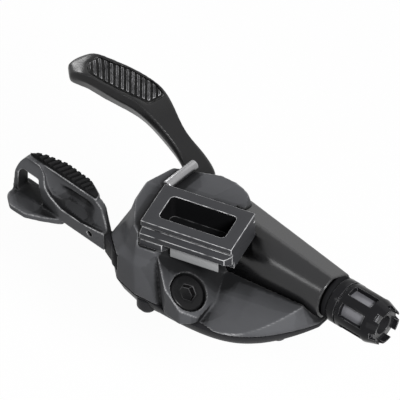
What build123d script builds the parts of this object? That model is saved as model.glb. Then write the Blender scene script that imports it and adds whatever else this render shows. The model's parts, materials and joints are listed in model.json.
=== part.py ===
from build123d import *
from math import atan2, cos, radians, sin
import os

os.makedirs("parts", exist_ok=True)

# Frame in millimetres: X runs along the rail, Z out of the rail face, origin in the middle of the rail face

# Levels below the rail face
PLATEAU_Z = -4.0
SEAT_Z = -8.0
CAVITY_TOP_Z = -9.6
WAIST_Z = -13.0
PULLEY_ROOF_Z = -16.7
SEAM_Z = -22.0
COVER_DEPTH = 4.4

# Main pivot and the drum around it
PIVOT = (-7.0, 5.0)
CAVITY_RADIUS = 12.6
DRUM_CORNER_RADIUS = 2.2
UPPER_CAVITY_FRONT = 8.2

# Rail bracket
RAIL_LENGTH = 25.0
RAIL_WIDTH = 14.4
RAIL_GROOVE = 0.9
FLANGE_REACH = 0.9
OPENING_LENGTH = 18.2
OPENING_WIDTH = 8.3
OPENING_DEPTH = 7.0
OPENING_RADIUS = 1.3
SIDE_GAP = 0.12

# Clamp bolt and the tilted facet it sits in
BOLT_CENTRE = (2.3, -10.6, -16.0)
BOLT_NORMAL = (0.585, -0.102, 0.804)
BOLT_SINK_RADIUS = 5.1
BOLT_SINK_DEPTH = 2.2
BOLT_HEAD_RADIUS = 4.75
BOLT_HEAD_HEIGHT = 1.9
BOLT_SHANK_RADIUS = 2.5
BOLT_SHANK_LENGTH = 3.2
BOLT_SOCKET_FLATS = 4.0
BOLT_EDGE = 0.7

# Cable line: the tunnel and the barrel adjuster share it
CABLE_ANGLE = -15.1
TUNNEL_END = (36.0, 3.55, -15.9)
TUNNEL_LENGTH = 34.5
TUNNEL_END_RADIUS = 6.5
TUNNEL_ROOT_RADIUS = 9.95
PANEL_NORMAL = (0.125, 0.462, 0.878)
PANEL_DEPTH = 1.0
CABLE_CHANNEL_RADIUS = 1.6
CHANNEL_REACH = 16.0
GASKET_LENGTH = 1.8
GASKET_RADIUS = 5.9
GASKET_EDGE = 0.5
STEM_RADIUS = 3.0
STEM_LENGTH = 9.0
STEM_END_GAP = 0.5
RUNNING_GAP = 0.05

# Barrel adjuster
BARREL_RADIUS = 6.0
BARREL_LENGTH = 15.0
BARREL_WALL = 1.5
WINDOW_COUNT = 6
HOUSING_SEAT_RADIUS = 2.55
HOUSING_SEAT_DEPTH = 8.0
CABLE_HOLE_RADIUS = 0.9

# Mechanism
AXLE_RADIUS = 3.0
BUSH_WALL = 1.0
HUB_RADIUS = 7.4
HUB_TOP_Z = -9.9
HUB_BOTTOM_Z = -12.9
RATCHET_RADIUS = 7.4
RATCHET_ROOT_RADIUS = 6.2
RATCHET_TEETH = 12
RATCHET_TOP_Z = -15.2
PULLEY_TOP_Z = -17.1
PULLEY_BOTTOM_Z = -20.4
PULLEY_GROOVE_RADIUS = 9.7
PULLEY_FLANGE_RADIUS = 11.2
PLATE_THICKNESS = 1.2

# Release lever
RELEASE_AXLE = (-18.5, -5.0)
RELEASE_AXLE_RADIUS = 1.5
RELEASE_ANGLE = 161.3
RELEASE_HUB_RADIUS = 2.9
RELEASE_TOP_Z = -13.6
RELEASE_BOTTOM_Z = -19.2
RIDGE_PITCH = 1.62

# Main lever
PAD_RIB_PITCH = 1.36
PAD_DEPTH = 0.9

CABLE_AXIS = Vector(cos(radians(CABLE_ANGLE)), sin(radians(CABLE_ANGLE)), 0)
TUNNEL_PLANE = Plane(origin=TUNNEL_END, x_dir=(0, 0, 1), z_dir=CABLE_AXIS)
BOLT_PLANE = Plane(origin=BOLT_CENTRE, x_dir=(0, 1, 0), z_dir=BOLT_NORMAL)
PIVOT_PLANE = Plane(origin=(PIVOT[0], PIVOT[1], 0))
RELEASE_SIDE = Plane(
    origin=(RELEASE_AXLE[0], RELEASE_AXLE[1], 0),
    x_dir=(cos(radians(RELEASE_ANGLE)), sin(radians(RELEASE_ANGLE)), 0),
    z_dir=(sin(radians(RELEASE_ANGLE)), -cos(radians(RELEASE_ANGLE)), 0),
)
RELEASE_TOP = Plane(origin=(RELEASE_AXLE[0], RELEASE_AXLE[1], 0), x_dir=RELEASE_SIDE.x_dir)


def rounded_section(points, height, radius):
    """Level section with rounded corners."""
    with BuildSketch(Plane.XY.offset(height)) as section:
        with BuildLine():
            Polyline(*points, close=True)
        make_face()
        fillet(section.vertices(), radius=radius)
    return section.sketch


# Drum body: level sections from the seam to the plateau, front corner first, then clockwise seen from above
SHOULDER_Z = -10.6
DRUM_AT_SEAM = [
    (-5, -13.2), (-12, -12), (-18.6, -8.6), (-22.6, -2.6), (-22, 9),
    (-15.4, 18.6), (-2, 22.4), (10, 18), (12, 4),
]
DRUM_AT_WAIST = [
    (-7, -10.4), (-13, -10.4), (-18.9, -8.4), (-23, -2.8), (-22, 9),
    (-15.5, 18.4), (-2, 22), (9, 18), (10, 6.5),
]
DRUM_AT_SHOULDER = [
    (-7.6, -9.2), (-13.3, -9.2), (-17.2, -6.8), (-20.4, 0.8), (-20.2, 9.4),
    (-15.2, 17.8), (-2.3, 21), (7.5, 18), (9, 6.5),
]
DRUM_AT_TOP = [
    (-8, -7.7), (-13.2, -7.7), (-15.2, -5.6), (-18.8, 3), (-18.8, 9.6),
    (-14.8, 17), (-2.5, 19.6), (5, 18.4), (6, 6),
]
SHOULDER_SLOPE = Plane(origin=(2.5, 19.4, PLATEAU_Z), z_dir=(0.42, -0.196, 0.886))

with BuildPart() as drum:
    loft(
        sections=[
            rounded_section(DRUM_AT_SEAM, SEAM_Z, DRUM_CORNER_RADIUS),
            rounded_section(DRUM_AT_WAIST, WAIST_Z, DRUM_CORNER_RADIUS),
            rounded_section(DRUM_AT_SHOULDER, SHOULDER_Z, DRUM_CORNER_RADIUS / 2),
            rounded_section(DRUM_AT_TOP, PLATEAU_Z, DRUM_CORNER_RADIUS / 2),
        ],
        ruled=True,
    )
    split(bisect_by=SHOULDER_SLOPE, keep=Keep.BOTTOM)

# Low hood between the drum and the tunnel's end
HOOD_FRONT = [(-8, -12.6), (6, -15.4), (17, -14.8), (26.5, -9.6), (34.4, -1.8)]
HOOD_BACK = [(37.2, 8.6), (30, 10.6), (14, 16.4), (-2, 20)]
HOOD_TOP_Z = -14.6
HOOD_RIM = 1.0
HOOD_LEAN = 4.0
HOOD_SLOPE = Plane(origin=(20, 2, -16.4), z_dir=(-0.09, -0.25, 0.964))


def hood_section(height, inset):
    """Outline of the hood, moved inwards by the inset."""
    with BuildSketch(Plane.XY.offset(height)) as section:
        with BuildLine():
            Spline(*HOOD_FRONT)
            Line(HOOD_FRONT[-1], HOOD_BACK[0])
            Spline(*HOOD_BACK)
            Line(HOOD_BACK[-1], HOOD_FRONT[0])
        make_face()
        if inset:
            offset(amount=-inset, mode=Mode.REPLACE)
    return section.sketch


with BuildPart() as hood:
    extrude(hood_section(SEAM_Z, 0), amount=HOOD_RIM)
    loft(sections=[hood_section(SEAM_Z + HOOD_RIM, 0), hood_section(HOOD_TOP_Z, HOOD_LEAN)], ruled=True)
    split(bisect_by=HOOD_SLOPE, keep=Keep.BOTTOM)

# Wedge boss whose sloping top is the bolt facet
BOSS_OUTLINE = [(-9, -6.6), (-2.4, -14.8), (2.6, -16.8), (6.8, -14.6), (7.6, -9.6), (10.4, 7), (-8, 7)]
BOSS_CORNER_RADIUS = 1.4

with BuildPart() as boss:
    extrude(rounded_section(BOSS_OUTLINE, SEAM_Z, BOSS_CORNER_RADIUS), amount=-SEAM_Z)
    split(bisect_by=BOLT_PLANE, keep=Keep.BOTTOM)

# Tapered tunnel body with a flat panel on top and a flat underside
TUNNEL_FLOOR_Z = -20.4
TUNNEL_WALL = 1.2
TUNNEL_TAPER = atan2(TUNNEL_ROOT_RADIUS - TUNNEL_END_RADIUS, TUNNEL_LENGTH)
TUNNEL_MIDDLE_RADIUS = (TUNNEL_ROOT_RADIUS + TUNNEL_END_RADIUS) / 2
TUNNEL_MIDDLE = Vector(*TUNNEL_END) - CABLE_AXIS * (TUNNEL_LENGTH / 2)
PANEL_POINT = TUNNEL_MIDDLE + Vector(*PANEL_NORMAL) * (TUNNEL_MIDDLE_RADIUS - PANEL_DEPTH)
PANEL_DIRECTION = Vector(*PANEL_NORMAL) * cos(TUNNEL_TAPER) + CABLE_AXIS * sin(TUNNEL_TAPER)

with BuildPart() as tunnel_body:
    with BuildSketch(TUNNEL_PLANE):
        Circle(TUNNEL_END_RADIUS)
    with BuildSketch(TUNNEL_PLANE.offset(-TUNNEL_LENGTH)):
        Circle(TUNNEL_ROOT_RADIUS)
    loft()
    split(bisect_by=Plane(origin=PANEL_POINT, z_dir=PANEL_DIRECTION), keep=Keep.BOTTOM)
    split(bisect_by=Plane.XY.offset(TUNNEL_FLOOR_Z), keep=Keep.TOP)
    with BuildSketch(PIVOT_PLANE.offset(SEAM_Z)):
        Circle(CAVITY_RADIUS + TUNNEL_WALL)
    extrude(amount=-SEAM_Z, mode=Mode.SUBTRACT)

# Space for the rail bracket, open to the front
BRACKET_FRONT_SPACE = 2.0

with BuildPart() as bracket_space:
    with Locations((0, -BRACKET_FRONT_SPACE / 2, 0)):
        Box(RAIL_LENGTH + 2 * SIDE_GAP, RAIL_WIDTH + BRACKET_FRONT_SPACE + 2 * SIDE_GAP, -2 * SEAT_Z)

# Space of the mechanism: full width round the pulley, set back from the facet above it
UPPER_CAVITY_NORMAL = Vector(0.625, -0.781, 0)
UPPER_CAVITY_PLANE = Plane(
    origin=Vector(*PIVOT) + UPPER_CAVITY_NORMAL * UPPER_CAVITY_FRONT,
    z_dir=UPPER_CAVITY_NORMAL,
)

with BuildPart() as upper_cavity:
    with BuildSketch(PIVOT_PLANE.offset(PULLEY_ROOF_Z)):
        Circle(CAVITY_RADIUS)
    extrude(amount=CAVITY_TOP_Z - PULLEY_ROOF_Z)
    split(bisect_by=UPPER_CAVITY_PLANE, keep=Keep.BOTTOM)

# Upper housing: the shell that carries everything
LEVER_SLOT_START = 62.0
LEVER_SLOT_SPAN = 98.0
LEVER_SLOT_REACH = 26.0
LEVER_SLOT_TOP_Z = -9.2
LEVER_SLOT_BOTTOM_Z = -13.5
RELEASE_SLOT_TOP_Z = -13.3
RELEASE_SLOT_BOTTOM_Z = -19.6
SLOT_GAP = 0.3
RELEASE_SLOT = [(-1.5, -3.2), (2.5, -5.6), (14, -8.5), (14, 5), (2.5, 2.9), (-1.5, 3.2)]
AXLE_TOP_Z = -8.6
RELEASE_AXLE_TOP_Z = -12.4
RELEASE_AXLE_BOTTOM_Z = -21.2
PIN_START = (-13.0, 9.2)
PIN_END = (-9.9, 19.4)
PIN_Z = -2.9
PIN_RADIUS = 1.35
PIN_VECTOR = Vector(PIN_END[0] - PIN_START[0], PIN_END[1] - PIN_START[1], 0)
PIN_PLANE = Plane(origin=(PIN_START[0], PIN_START[1], PIN_Z), x_dir=(0, 0, 1), z_dir=PIN_VECTOR)
COVER_SCREWS = [(-9.4, -9.8), (25.0, -6.0), (-4.0, 19.8)]
SCREW_RADIUS = 1.1
SCREW_HEAD_RADIUS = 2.0
SCREW_LENGTH = 3.0
SCREW_SINK = 1.6

with BuildPart() as upper_housing:
    add(drum.part)
    add(hood.part)
    add(boss.part)
    add(bracket_space.part, mode=Mode.SUBTRACT)
    add(tunnel_body.part, mode=Mode.SUBTRACT)
    add(upper_cavity.part, mode=Mode.SUBTRACT)
    with BuildSketch(PIVOT_PLANE.offset(SEAM_Z)):
        Circle(CAVITY_RADIUS)
    extrude(amount=PULLEY_ROOF_Z - SEAM_Z, mode=Mode.SUBTRACT)
    with BuildSketch(PIVOT_PLANE.offset(CAVITY_TOP_Z)):
        Circle(AXLE_RADIUS)
    extrude(amount=AXLE_TOP_Z - CAVITY_TOP_Z, mode=Mode.SUBTRACT)
    with BuildSketch(PIVOT_PLANE.offset(LEVER_SLOT_BOTTOM_Z)):
        with BuildLine():
            slot_arc = CenterArc((0, 0), LEVER_SLOT_REACH, LEVER_SLOT_START, LEVER_SLOT_SPAN)
            Line((0, 0), slot_arc @ 0)
            Line(slot_arc @ 1, (0, 0))
        make_face()
    extrude(amount=LEVER_SLOT_TOP_Z - LEVER_SLOT_BOTTOM_Z, mode=Mode.SUBTRACT)
    with BuildSketch(RELEASE_TOP.offset(RELEASE_SLOT_BOTTOM_Z)):
        with BuildLine():
            Polyline(*RELEASE_SLOT, close=True)
        make_face()
        Circle(RELEASE_HUB_RADIUS + SLOT_GAP)
    extrude(amount=RELEASE_SLOT_TOP_Z - RELEASE_SLOT_BOTTOM_Z, mode=Mode.SUBTRACT)
    with BuildSketch(RELEASE_TOP.offset(RELEASE_AXLE_BOTTOM_Z)):
        Circle(RELEASE_AXLE_RADIUS)
    extrude(amount=RELEASE_AXLE_TOP_Z - RELEASE_AXLE_BOTTOM_Z, mode=Mode.SUBTRACT)
    with BuildSketch(TUNNEL_PLANE.offset(-TUNNEL_LENGTH)):
        Circle(CABLE_CHANNEL_RADIUS)
    extrude(amount=-CHANNEL_REACH, mode=Mode.SUBTRACT)
    with BuildSketch(BOLT_PLANE):
        Circle(BOLT_SINK_RADIUS)
    extrude(amount=-BOLT_SINK_DEPTH, mode=Mode.SUBTRACT)
    with BuildSketch(BOLT_PLANE.offset(-BOLT_SINK_DEPTH)):
        Circle(BOLT_SHANK_RADIUS)
    extrude(amount=-BOLT_SHANK_LENGTH, mode=Mode.SUBTRACT)
    with BuildSketch(PIN_PLANE):
        Circle(PIN_RADIUS)
    extrude(amount=PIN_VECTOR.length, mode=Mode.SUBTRACT)
    with BuildSketch(Plane.XY.offset(SEAM_Z)):
        with Locations(*COVER_SCREWS):
            Circle(SCREW_RADIUS)
    extrude(amount=SCREW_LENGTH, mode=Mode.SUBTRACT)
upper_housing.part.label = "upper_housing"
export_step(upper_housing.part, "parts/upper_housing.step")

# Tunnel cover: hollow for the adjuster's stem and the cable
with BuildPart() as tunnel_cover:
    add(tunnel_body.part)
    add(bracket_space.part, mode=Mode.SUBTRACT)
    with BuildSketch(TUNNEL_PLANE):
        Circle(STEM_RADIUS + RUNNING_GAP)
    extrude(amount=-STEM_LENGTH, mode=Mode.SUBTRACT)
    with BuildSketch(TUNNEL_PLANE):
        Circle(CABLE_CHANNEL_RADIUS)
    extrude(amount=-TUNNEL_LENGTH, mode=Mode.SUBTRACT)
tunnel_cover.part.label = "tunnel_cover"
export_step(tunnel_cover.part, "parts/tunnel_cover.step")

# Tunnel gasket
with BuildPart() as tunnel_gasket:
    with BuildSketch(TUNNEL_PLANE):
        Circle(GASKET_RADIUS)
        Circle(STEM_RADIUS + RUNNING_GAP, mode=Mode.SUBTRACT)
    extrude(amount=GASKET_LENGTH)
    chamfer(tunnel_gasket.edges().filter_by(GeomType.CIRCLE).sort_by(SortBy.RADIUS)[-2:], length=GASKET_EDGE)
tunnel_gasket.part.label = "tunnel_gasket"
export_step(tunnel_gasket.part, "parts/tunnel_gasket.step")

# Lower cover: the bowl below the seam
COVER_TAPER = 24.0
COVER_WALL = 1.4
COVER_INSET = 2.4
NUT_POCKET_RADIUS = 9.0
COVER_SLOPE = Plane(origin=(19, 0, SEAM_Z - COVER_DEPTH), z_dir=(0.22, 0, -0.975))
SCREW_BOSS_RADIUS = 2.8
SCREW_BOSS_DEPTH = 4.0
SCREW_SEATS = [-SCREW_BOSS_DEPTH, SCREW_SINK - COVER_DEPTH, SCREW_SINK - COVER_DEPTH]

with BuildPart() as lower_cover:
    extrude(rounded_section(DRUM_AT_SEAM, SEAM_Z, DRUM_CORNER_RADIUS), amount=-COVER_DEPTH, taper=COVER_TAPER)
    loft(
        sections=[
            hood_section(SEAM_Z, 0),
            hood_section(SEAM_Z - COVER_DEPTH / 2, COVER_INSET / 4),
            hood_section(SEAM_Z - COVER_DEPTH, COVER_INSET),
        ]
    )
    split(bisect_by=COVER_SLOPE, keep=Keep.BOTTOM)
    with BuildSketch(Plane.XY.offset(SEAM_Z - 1)):
        with Locations(COVER_SCREWS[0]):
            Circle(SCREW_BOSS_RADIUS)
    extrude(amount=1 - SCREW_BOSS_DEPTH)
    with BuildSketch(PIVOT_PLANE.offset(SEAM_Z)):
        Circle(NUT_POCKET_RADIUS)
    extrude(amount=COVER_WALL - COVER_DEPTH, mode=Mode.SUBTRACT)
    with BuildSketch(Plane.XY.offset(SEAM_Z)):
        with Locations(*COVER_SCREWS):
            Circle(SCREW_RADIUS)
    extrude(amount=-SCREW_BOSS_DEPTH, mode=Mode.SUBTRACT)
    for place, seat in zip(COVER_SCREWS, SCREW_SEATS):
        with BuildSketch(Plane.XY.offset(SEAM_Z + seat)):
            with Locations(place):
                Circle(SCREW_HEAD_RADIUS)
        extrude(amount=-COVER_DEPTH, mode=Mode.SUBTRACT)
lower_cover.part.label = "lower_cover"
export_step(lower_cover.part, "parts/lower_cover.step")

# Cover screws
SCREW_HEAD_HEIGHT = 1.2
SCREW_SOCKET_FLATS = 2.0

with BuildPart() as cover_screws:
    for place, seat in zip(COVER_SCREWS, SCREW_SEATS):
        with BuildSketch(Plane.XY.offset(SEAM_Z + seat)):
            with Locations(place):
                Circle(SCREW_RADIUS)
        extrude(amount=SCREW_LENGTH - seat)
        with BuildSketch(Plane.XY.offset(SEAM_Z + seat)):
            with Locations(place):
                Circle(SCREW_HEAD_RADIUS)
        extrude(amount=-SCREW_HEAD_HEIGHT)
        with BuildSketch(Plane.XY.offset(SEAM_Z + seat - SCREW_HEAD_HEIGHT)):
            with Locations(place):
                RegularPolygon(SCREW_SOCKET_FLATS / 2, 6, major_radius=False)
        extrude(amount=SCREW_HEAD_HEIGHT / 2, mode=Mode.SUBTRACT)
cover_screws.part.label = "cover_screws"
export_step(cover_screws.part, "parts/cover_screws.step")

# Rail bracket: grooved head with a deep opening on a base cut back along the drum's front wall
HEAD_BOTTOM_Z = -5.8
GROOVE_TOP_Z = -1.6
GROOVE_BOTTOM_Z = -2.9
FLANGE_TOP_Z = -3.6
BACK_LIP_Z = -2.6
BRACKET_BASE = [(-12.5, -7.9), (-6.4, -7.9), (-4.8, -5.4), (12.5, -5.4), (12.5, 7.2), (-12.5, 7.2)]
FLANGE_CHAMFER = 1.6
HALF_RAIL = RAIL_WIDTH / 2

with BuildPart() as rail_bracket:
    with BuildSketch(Plane.YZ.offset(-RAIL_LENGTH / 2)):
        with BuildLine():
            Polyline(
                (-HALF_RAIL, 0),
                (-HALF_RAIL, GROOVE_TOP_Z),
                (-HALF_RAIL + RAIL_GROOVE, GROOVE_TOP_Z - RAIL_GROOVE / 2),
                (-HALF_RAIL + RAIL_GROOVE, GROOVE_BOTTOM_Z),
                (-HALF_RAIL - FLANGE_REACH, FLANGE_TOP_Z),
                (-HALF_RAIL - FLANGE_REACH, HEAD_BOTTOM_Z + FLANGE_REACH / 2),
                (-HALF_RAIL, HEAD_BOTTOM_Z),
                (HALF_RAIL, HEAD_BOTTOM_Z),
                (HALF_RAIL, BACK_LIP_Z),
                (HALF_RAIL - RAIL_GROOVE, BACK_LIP_Z),
                (HALF_RAIL - RAIL_GROOVE, GROOVE_TOP_Z),
                (HALF_RAIL, GROOVE_TOP_Z),
                (HALF_RAIL, 0),
                close=True,
            )
        make_face()
    extrude(amount=RAIL_LENGTH)
    with BuildSketch(Plane.XY.offset(SEAT_Z)):
        with BuildLine():
            Polyline(*BRACKET_BASE, close=True)
        make_face()
    extrude(amount=HEAD_BOTTOM_Z - SEAT_Z)
    with BuildSketch():
        RectangleRounded(OPENING_LENGTH, OPENING_WIDTH, OPENING_RADIUS)
    extrude(amount=-OPENING_DEPTH, mode=Mode.SUBTRACT)
    front_corner = (RAIL_LENGTH / 2, -HALF_RAIL - FLANGE_REACH)
    with BuildSketch(Plane.XY.offset(HEAD_BOTTOM_Z)):
        with BuildLine():
            Polyline(
                front_corner,
                (front_corner[0], front_corner[1] + FLANGE_CHAMFER),
                (front_corner[0] - FLANGE_CHAMFER, front_corner[1]),
                close=True,
            )
        make_face()
    extrude(amount=GROOVE_BOTTOM_Z - HEAD_BOTTOM_Z, mode=Mode.SUBTRACT)
rail_bracket.part.label = "rail_bracket"
export_step(rail_bracket.part, "parts/rail_bracket.step")

# Clamp plate under the head's front flange
PLATE_OUTLINE = [(-4.4, -7.2), (9.0, -7.2), (7.4, -5.4), (-3.0, -5.4), (-4.4, -6.6)]
CLAMP_PLATE_BOTTOM_Z = -9.7

with BuildPart() as clamp_plate:
    with BuildSketch(Plane.XY.offset(CLAMP_PLATE_BOTTOM_Z)):
        with BuildLine():
            Polyline(*PLATE_OUTLINE, close=True)
        make_face()
    extrude(amount=HEAD_BOTTOM_Z - CLAMP_PLATE_BOTTOM_Z)
    chamfer(clamp_plate.faces().sort_by(Axis.Z)[0].edges().sort_by(Axis.Y)[0], length=0.4)
clamp_plate.part.label = "clamp_plate"
export_step(clamp_plate.part, "parts/clamp_plate.step")

# Clamp bolt with a hexagon socket
with BuildPart() as bracket_bolt:
    with BuildSketch(BOLT_PLANE.offset(-BOLT_SINK_DEPTH)):
        Circle(BOLT_HEAD_RADIUS)
    extrude(amount=BOLT_HEAD_HEIGHT)
    fillet(bracket_bolt.edges().filter_by(GeomType.CIRCLE).sort_by(Axis.Z)[-1], radius=BOLT_EDGE)
    with BuildSketch(BOLT_PLANE.offset(-BOLT_SINK_DEPTH)):
        Circle(BOLT_SHANK_RADIUS)
    extrude(amount=-BOLT_SHANK_LENGTH)
    with BuildSketch(BOLT_PLANE.offset(BOLT_HEAD_HEIGHT - BOLT_SINK_DEPTH)):
        RegularPolygon(BOLT_SOCKET_FLATS / 2, 6, major_radius=False)
    extrude(amount=-BOLT_HEAD_HEIGHT, mode=Mode.SUBTRACT)
bracket_bolt.part.label = "bracket_bolt"
export_step(bracket_bolt.part, "parts/bracket_bolt.step")

# Steel pin on the plateau
with BuildPart() as stop_pin:
    with BuildSketch(PIN_PLANE):
        Circle(PIN_RADIUS)
    extrude(amount=PIN_VECTOR.length)
    chamfer(stop_pin.edges().filter_by(GeomType.CIRCLE), length=0.25)
stop_pin.part.label = "stop_pin"
export_step(stop_pin.part, "parts/stop_pin.step")

# Main axle with its nut, and the plate above the seam
NUT_FLATS = 8.0
NUT_HEIGHT = 1.8
BASE_PLATE_RADIUS = 12.3

with BuildPart() as main_axle:
    with BuildSketch(PIVOT_PLANE.offset(SEAM_Z - NUT_HEIGHT)):
        Circle(AXLE_RADIUS)
    extrude(amount=AXLE_TOP_Z - SEAM_Z + NUT_HEIGHT)
    chamfer(main_axle.edges().filter_by(GeomType.CIRCLE), length=0.3)
main_axle.part.label = "main_axle"
export_step(main_axle.part, "parts/main_axle.step")

with BuildPart() as axle_nut:
    with BuildSketch(PIVOT_PLANE.offset(SEAM_Z)):
        RegularPolygon(NUT_FLATS / 2, 6, major_radius=False)
        Circle(AXLE_RADIUS, mode=Mode.SUBTRACT)
    extrude(amount=-NUT_HEIGHT)
axle_nut.part.label = "axle_nut"
export_step(axle_nut.part, "parts/axle_nut.step")

with BuildPart() as base_plate:
    with BuildSketch(PIVOT_PLANE.offset(SEAM_Z)):
        Circle(BASE_PLATE_RADIUS)
        Circle(AXLE_RADIUS, mode=Mode.SUBTRACT)
    extrude(amount=PLATE_THICKNESS)
base_plate.part.label = "base_plate"
export_step(base_plate.part, "parts/base_plate.step")

# Cable pulley with a rounded groove and the cable end's pocket
GROOVE_WIDTH = 1.9
NIPPLE_RADIUS = 2.2
PULLEY_MIDDLE_Z = (PULLEY_TOP_Z + PULLEY_BOTTOM_Z) / 2

with BuildPart() as cable_pulley:
    with BuildSketch(PIVOT_PLANE.offset(PULLEY_BOTTOM_Z)):
        Circle(PULLEY_FLANGE_RADIUS)
        Circle(AXLE_RADIUS + RUNNING_GAP, mode=Mode.SUBTRACT)
    extrude(amount=PULLEY_TOP_Z - PULLEY_BOTTOM_Z)
    with BuildSketch(PIVOT_PLANE.offset(PULLEY_MIDDLE_Z - GROOVE_WIDTH / 2)):
        Circle(PULLEY_FLANGE_RADIUS)
        Circle(PULLEY_GROOVE_RADIUS, mode=Mode.SUBTRACT)
    extrude(amount=GROOVE_WIDTH, mode=Mode.SUBTRACT)
    with BuildSketch(PIVOT_PLANE.offset(PULLEY_MIDDLE_Z)):
        with PolarLocations(PULLEY_GROOVE_RADIUS - NIPPLE_RADIUS, 1, start_angle=200):
            Circle(NIPPLE_RADIUS)
    extrude(amount=PULLEY_TOP_Z - PULLEY_BOTTOM_Z, mode=Mode.SUBTRACT)
cable_pulley.part.label = "cable_pulley"
export_step(cable_pulley.part, "parts/cable_pulley.step")

# Ratchet wheel with saw teeth, fixed on the pulley
TOOTH_STEP = 360 / RATCHET_TEETH
ratchet_points = []
for tooth in range(RATCHET_TEETH):
    root_angle = radians(tooth * TOOTH_STEP)
    tip_angle = radians(tooth * TOOTH_STEP + TOOTH_STEP * 0.85)
    ratchet_points.append((RATCHET_ROOT_RADIUS * cos(root_angle), RATCHET_ROOT_RADIUS * sin(root_angle)))
    ratchet_points.append((RATCHET_RADIUS * cos(tip_angle), RATCHET_RADIUS * sin(tip_angle)))

with BuildPart() as ratchet_wheel:
    with BuildSketch(PIVOT_PLANE.offset(PULLEY_TOP_Z)):
        with BuildLine():
            Polyline(*ratchet_points, close=True)
        make_face()
        Circle(AXLE_RADIUS + RUNNING_GAP, mode=Mode.SUBTRACT)
    extrude(amount=RATCHET_TOP_Z - PULLEY_TOP_Z)
ratchet_wheel.part.label = "ratchet_wheel"
export_step(ratchet_wheel.part, "parts/ratchet_wheel.step")

# Hold pawl beside the teeth, on its own pin
HOLD_PAWL_ANGLE = 215.0
HOLD_PAWL_REACH = 10.0
HOLD_PAWL_RADIUS = 1.6
HOLD_PIN_RADIUS = 0.8
HOLD_PAWL_OUTLINE = [(0, -1.3), (4.2, 1.6), (3.8, 3.0), (0, 1.4)]
HOLD_PAWL_BOTTOM_Z = -16.5
HOLD_PAWL_TOP_Z = -15.2
HOLD_PAWL_AXLE = (
    PIVOT[0] + HOLD_PAWL_REACH * cos(radians(HOLD_PAWL_ANGLE)),
    PIVOT[1] + HOLD_PAWL_REACH * sin(radians(HOLD_PAWL_ANGLE)),
)
HOLD_PLANE = Plane(
    origin=(HOLD_PAWL_AXLE[0], HOLD_PAWL_AXLE[1], 0),
    x_dir=(-sin(radians(HOLD_PAWL_ANGLE)), cos(radians(HOLD_PAWL_ANGLE)), 0),
)

with BuildPart() as hold_pawl:
    with BuildSketch(HOLD_PLANE.offset(HOLD_PAWL_BOTTOM_Z)):
        Circle(HOLD_PAWL_RADIUS)
        with BuildLine():
            Polyline(*HOLD_PAWL_OUTLINE, close=True)
        make_face()
        Circle(HOLD_PIN_RADIUS + RUNNING_GAP, mode=Mode.SUBTRACT)
    extrude(amount=HOLD_PAWL_TOP_Z - HOLD_PAWL_BOTTOM_Z)
hold_pawl.part.label = "hold_pawl"
export_step(hold_pawl.part, "parts/hold_pawl.step")

with BuildPart() as hold_pawl_axle:
    with BuildSketch(HOLD_PLANE.offset(HOLD_PAWL_BOTTOM_Z)):
        Circle(HOLD_PIN_RADIUS)
    extrude(amount=CAVITY_TOP_Z - HOLD_PAWL_BOTTOM_Z)
hold_pawl_axle.part.label = "hold_pawl_axle"
export_step(hold_pawl_axle.part, "parts/hold_pawl_axle.step")

# Torsion springs
def coil(base, radius, wire, pitch, turns):
    """Square-wire coil standing on a plane; wire is half the wire's width."""
    path = base.location * Helix(pitch=pitch, height=pitch * turns, radius=radius)
    with BuildPart() as spring:
        with BuildSketch(Plane(origin=path @ 0, x_dir=base.x_dir, z_dir=path % 0)):
            Rectangle(2 * wire, 2 * wire)
        sweep(path=path, is_frenet=True)
    return spring.part


MAIN_SPRING_RADIUS = 3.5
MAIN_SPRING_WIRE = 0.3
MAIN_SPRING_PITCH = 0.7
MAIN_SPRING_TURNS = 1.5
MAIN_SPRING_PLANE = PIVOT_PLANE.offset(RATCHET_TOP_Z + 2 * MAIN_SPRING_WIRE)

with BuildPart() as main_return_spring:
    add(coil(MAIN_SPRING_PLANE, MAIN_SPRING_RADIUS, MAIN_SPRING_WIRE, MAIN_SPRING_PITCH, MAIN_SPRING_TURNS))
main_return_spring.part.label = "main_return_spring"
export_step(main_return_spring.part, "parts/main_return_spring.step")

# Barrel adjuster: collar, windows between ribs, tapered crown with notches
BARREL_GAP = 0.3
BARREL_PLANE = TUNNEL_PLANE.offset(GASKET_LENGTH + BARREL_GAP)
COLLAR_LENGTH = 2.2
COLLAR_GROOVE = 0.5
CROWN_START = 11.6
CROWN_WALL = 0.4
WINDOW_START = 3.8
WINDOW_END = 11.0
WINDOW_WIDTH = 3.6
NOTCH_WIDTH = 2.0
NOTCH_DEPTH = 1.6
SLEEVE_RADIUS = BARREL_RADIUS - BARREL_WALL
CROWN_END_RADIUS = SLEEVE_RADIUS + CROWN_WALL
SPRING_POCKET = 2.4

BARREL_AXIS = Axis(BARREL_PLANE.origin, CABLE_AXIS)
BARREL_SECTION = Plane(
    origin=BARREL_PLANE.origin,
    x_dir=BARREL_PLANE.x_dir,
    z_dir=BARREL_PLANE.x_dir.cross(CABLE_AXIS),
)

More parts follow.
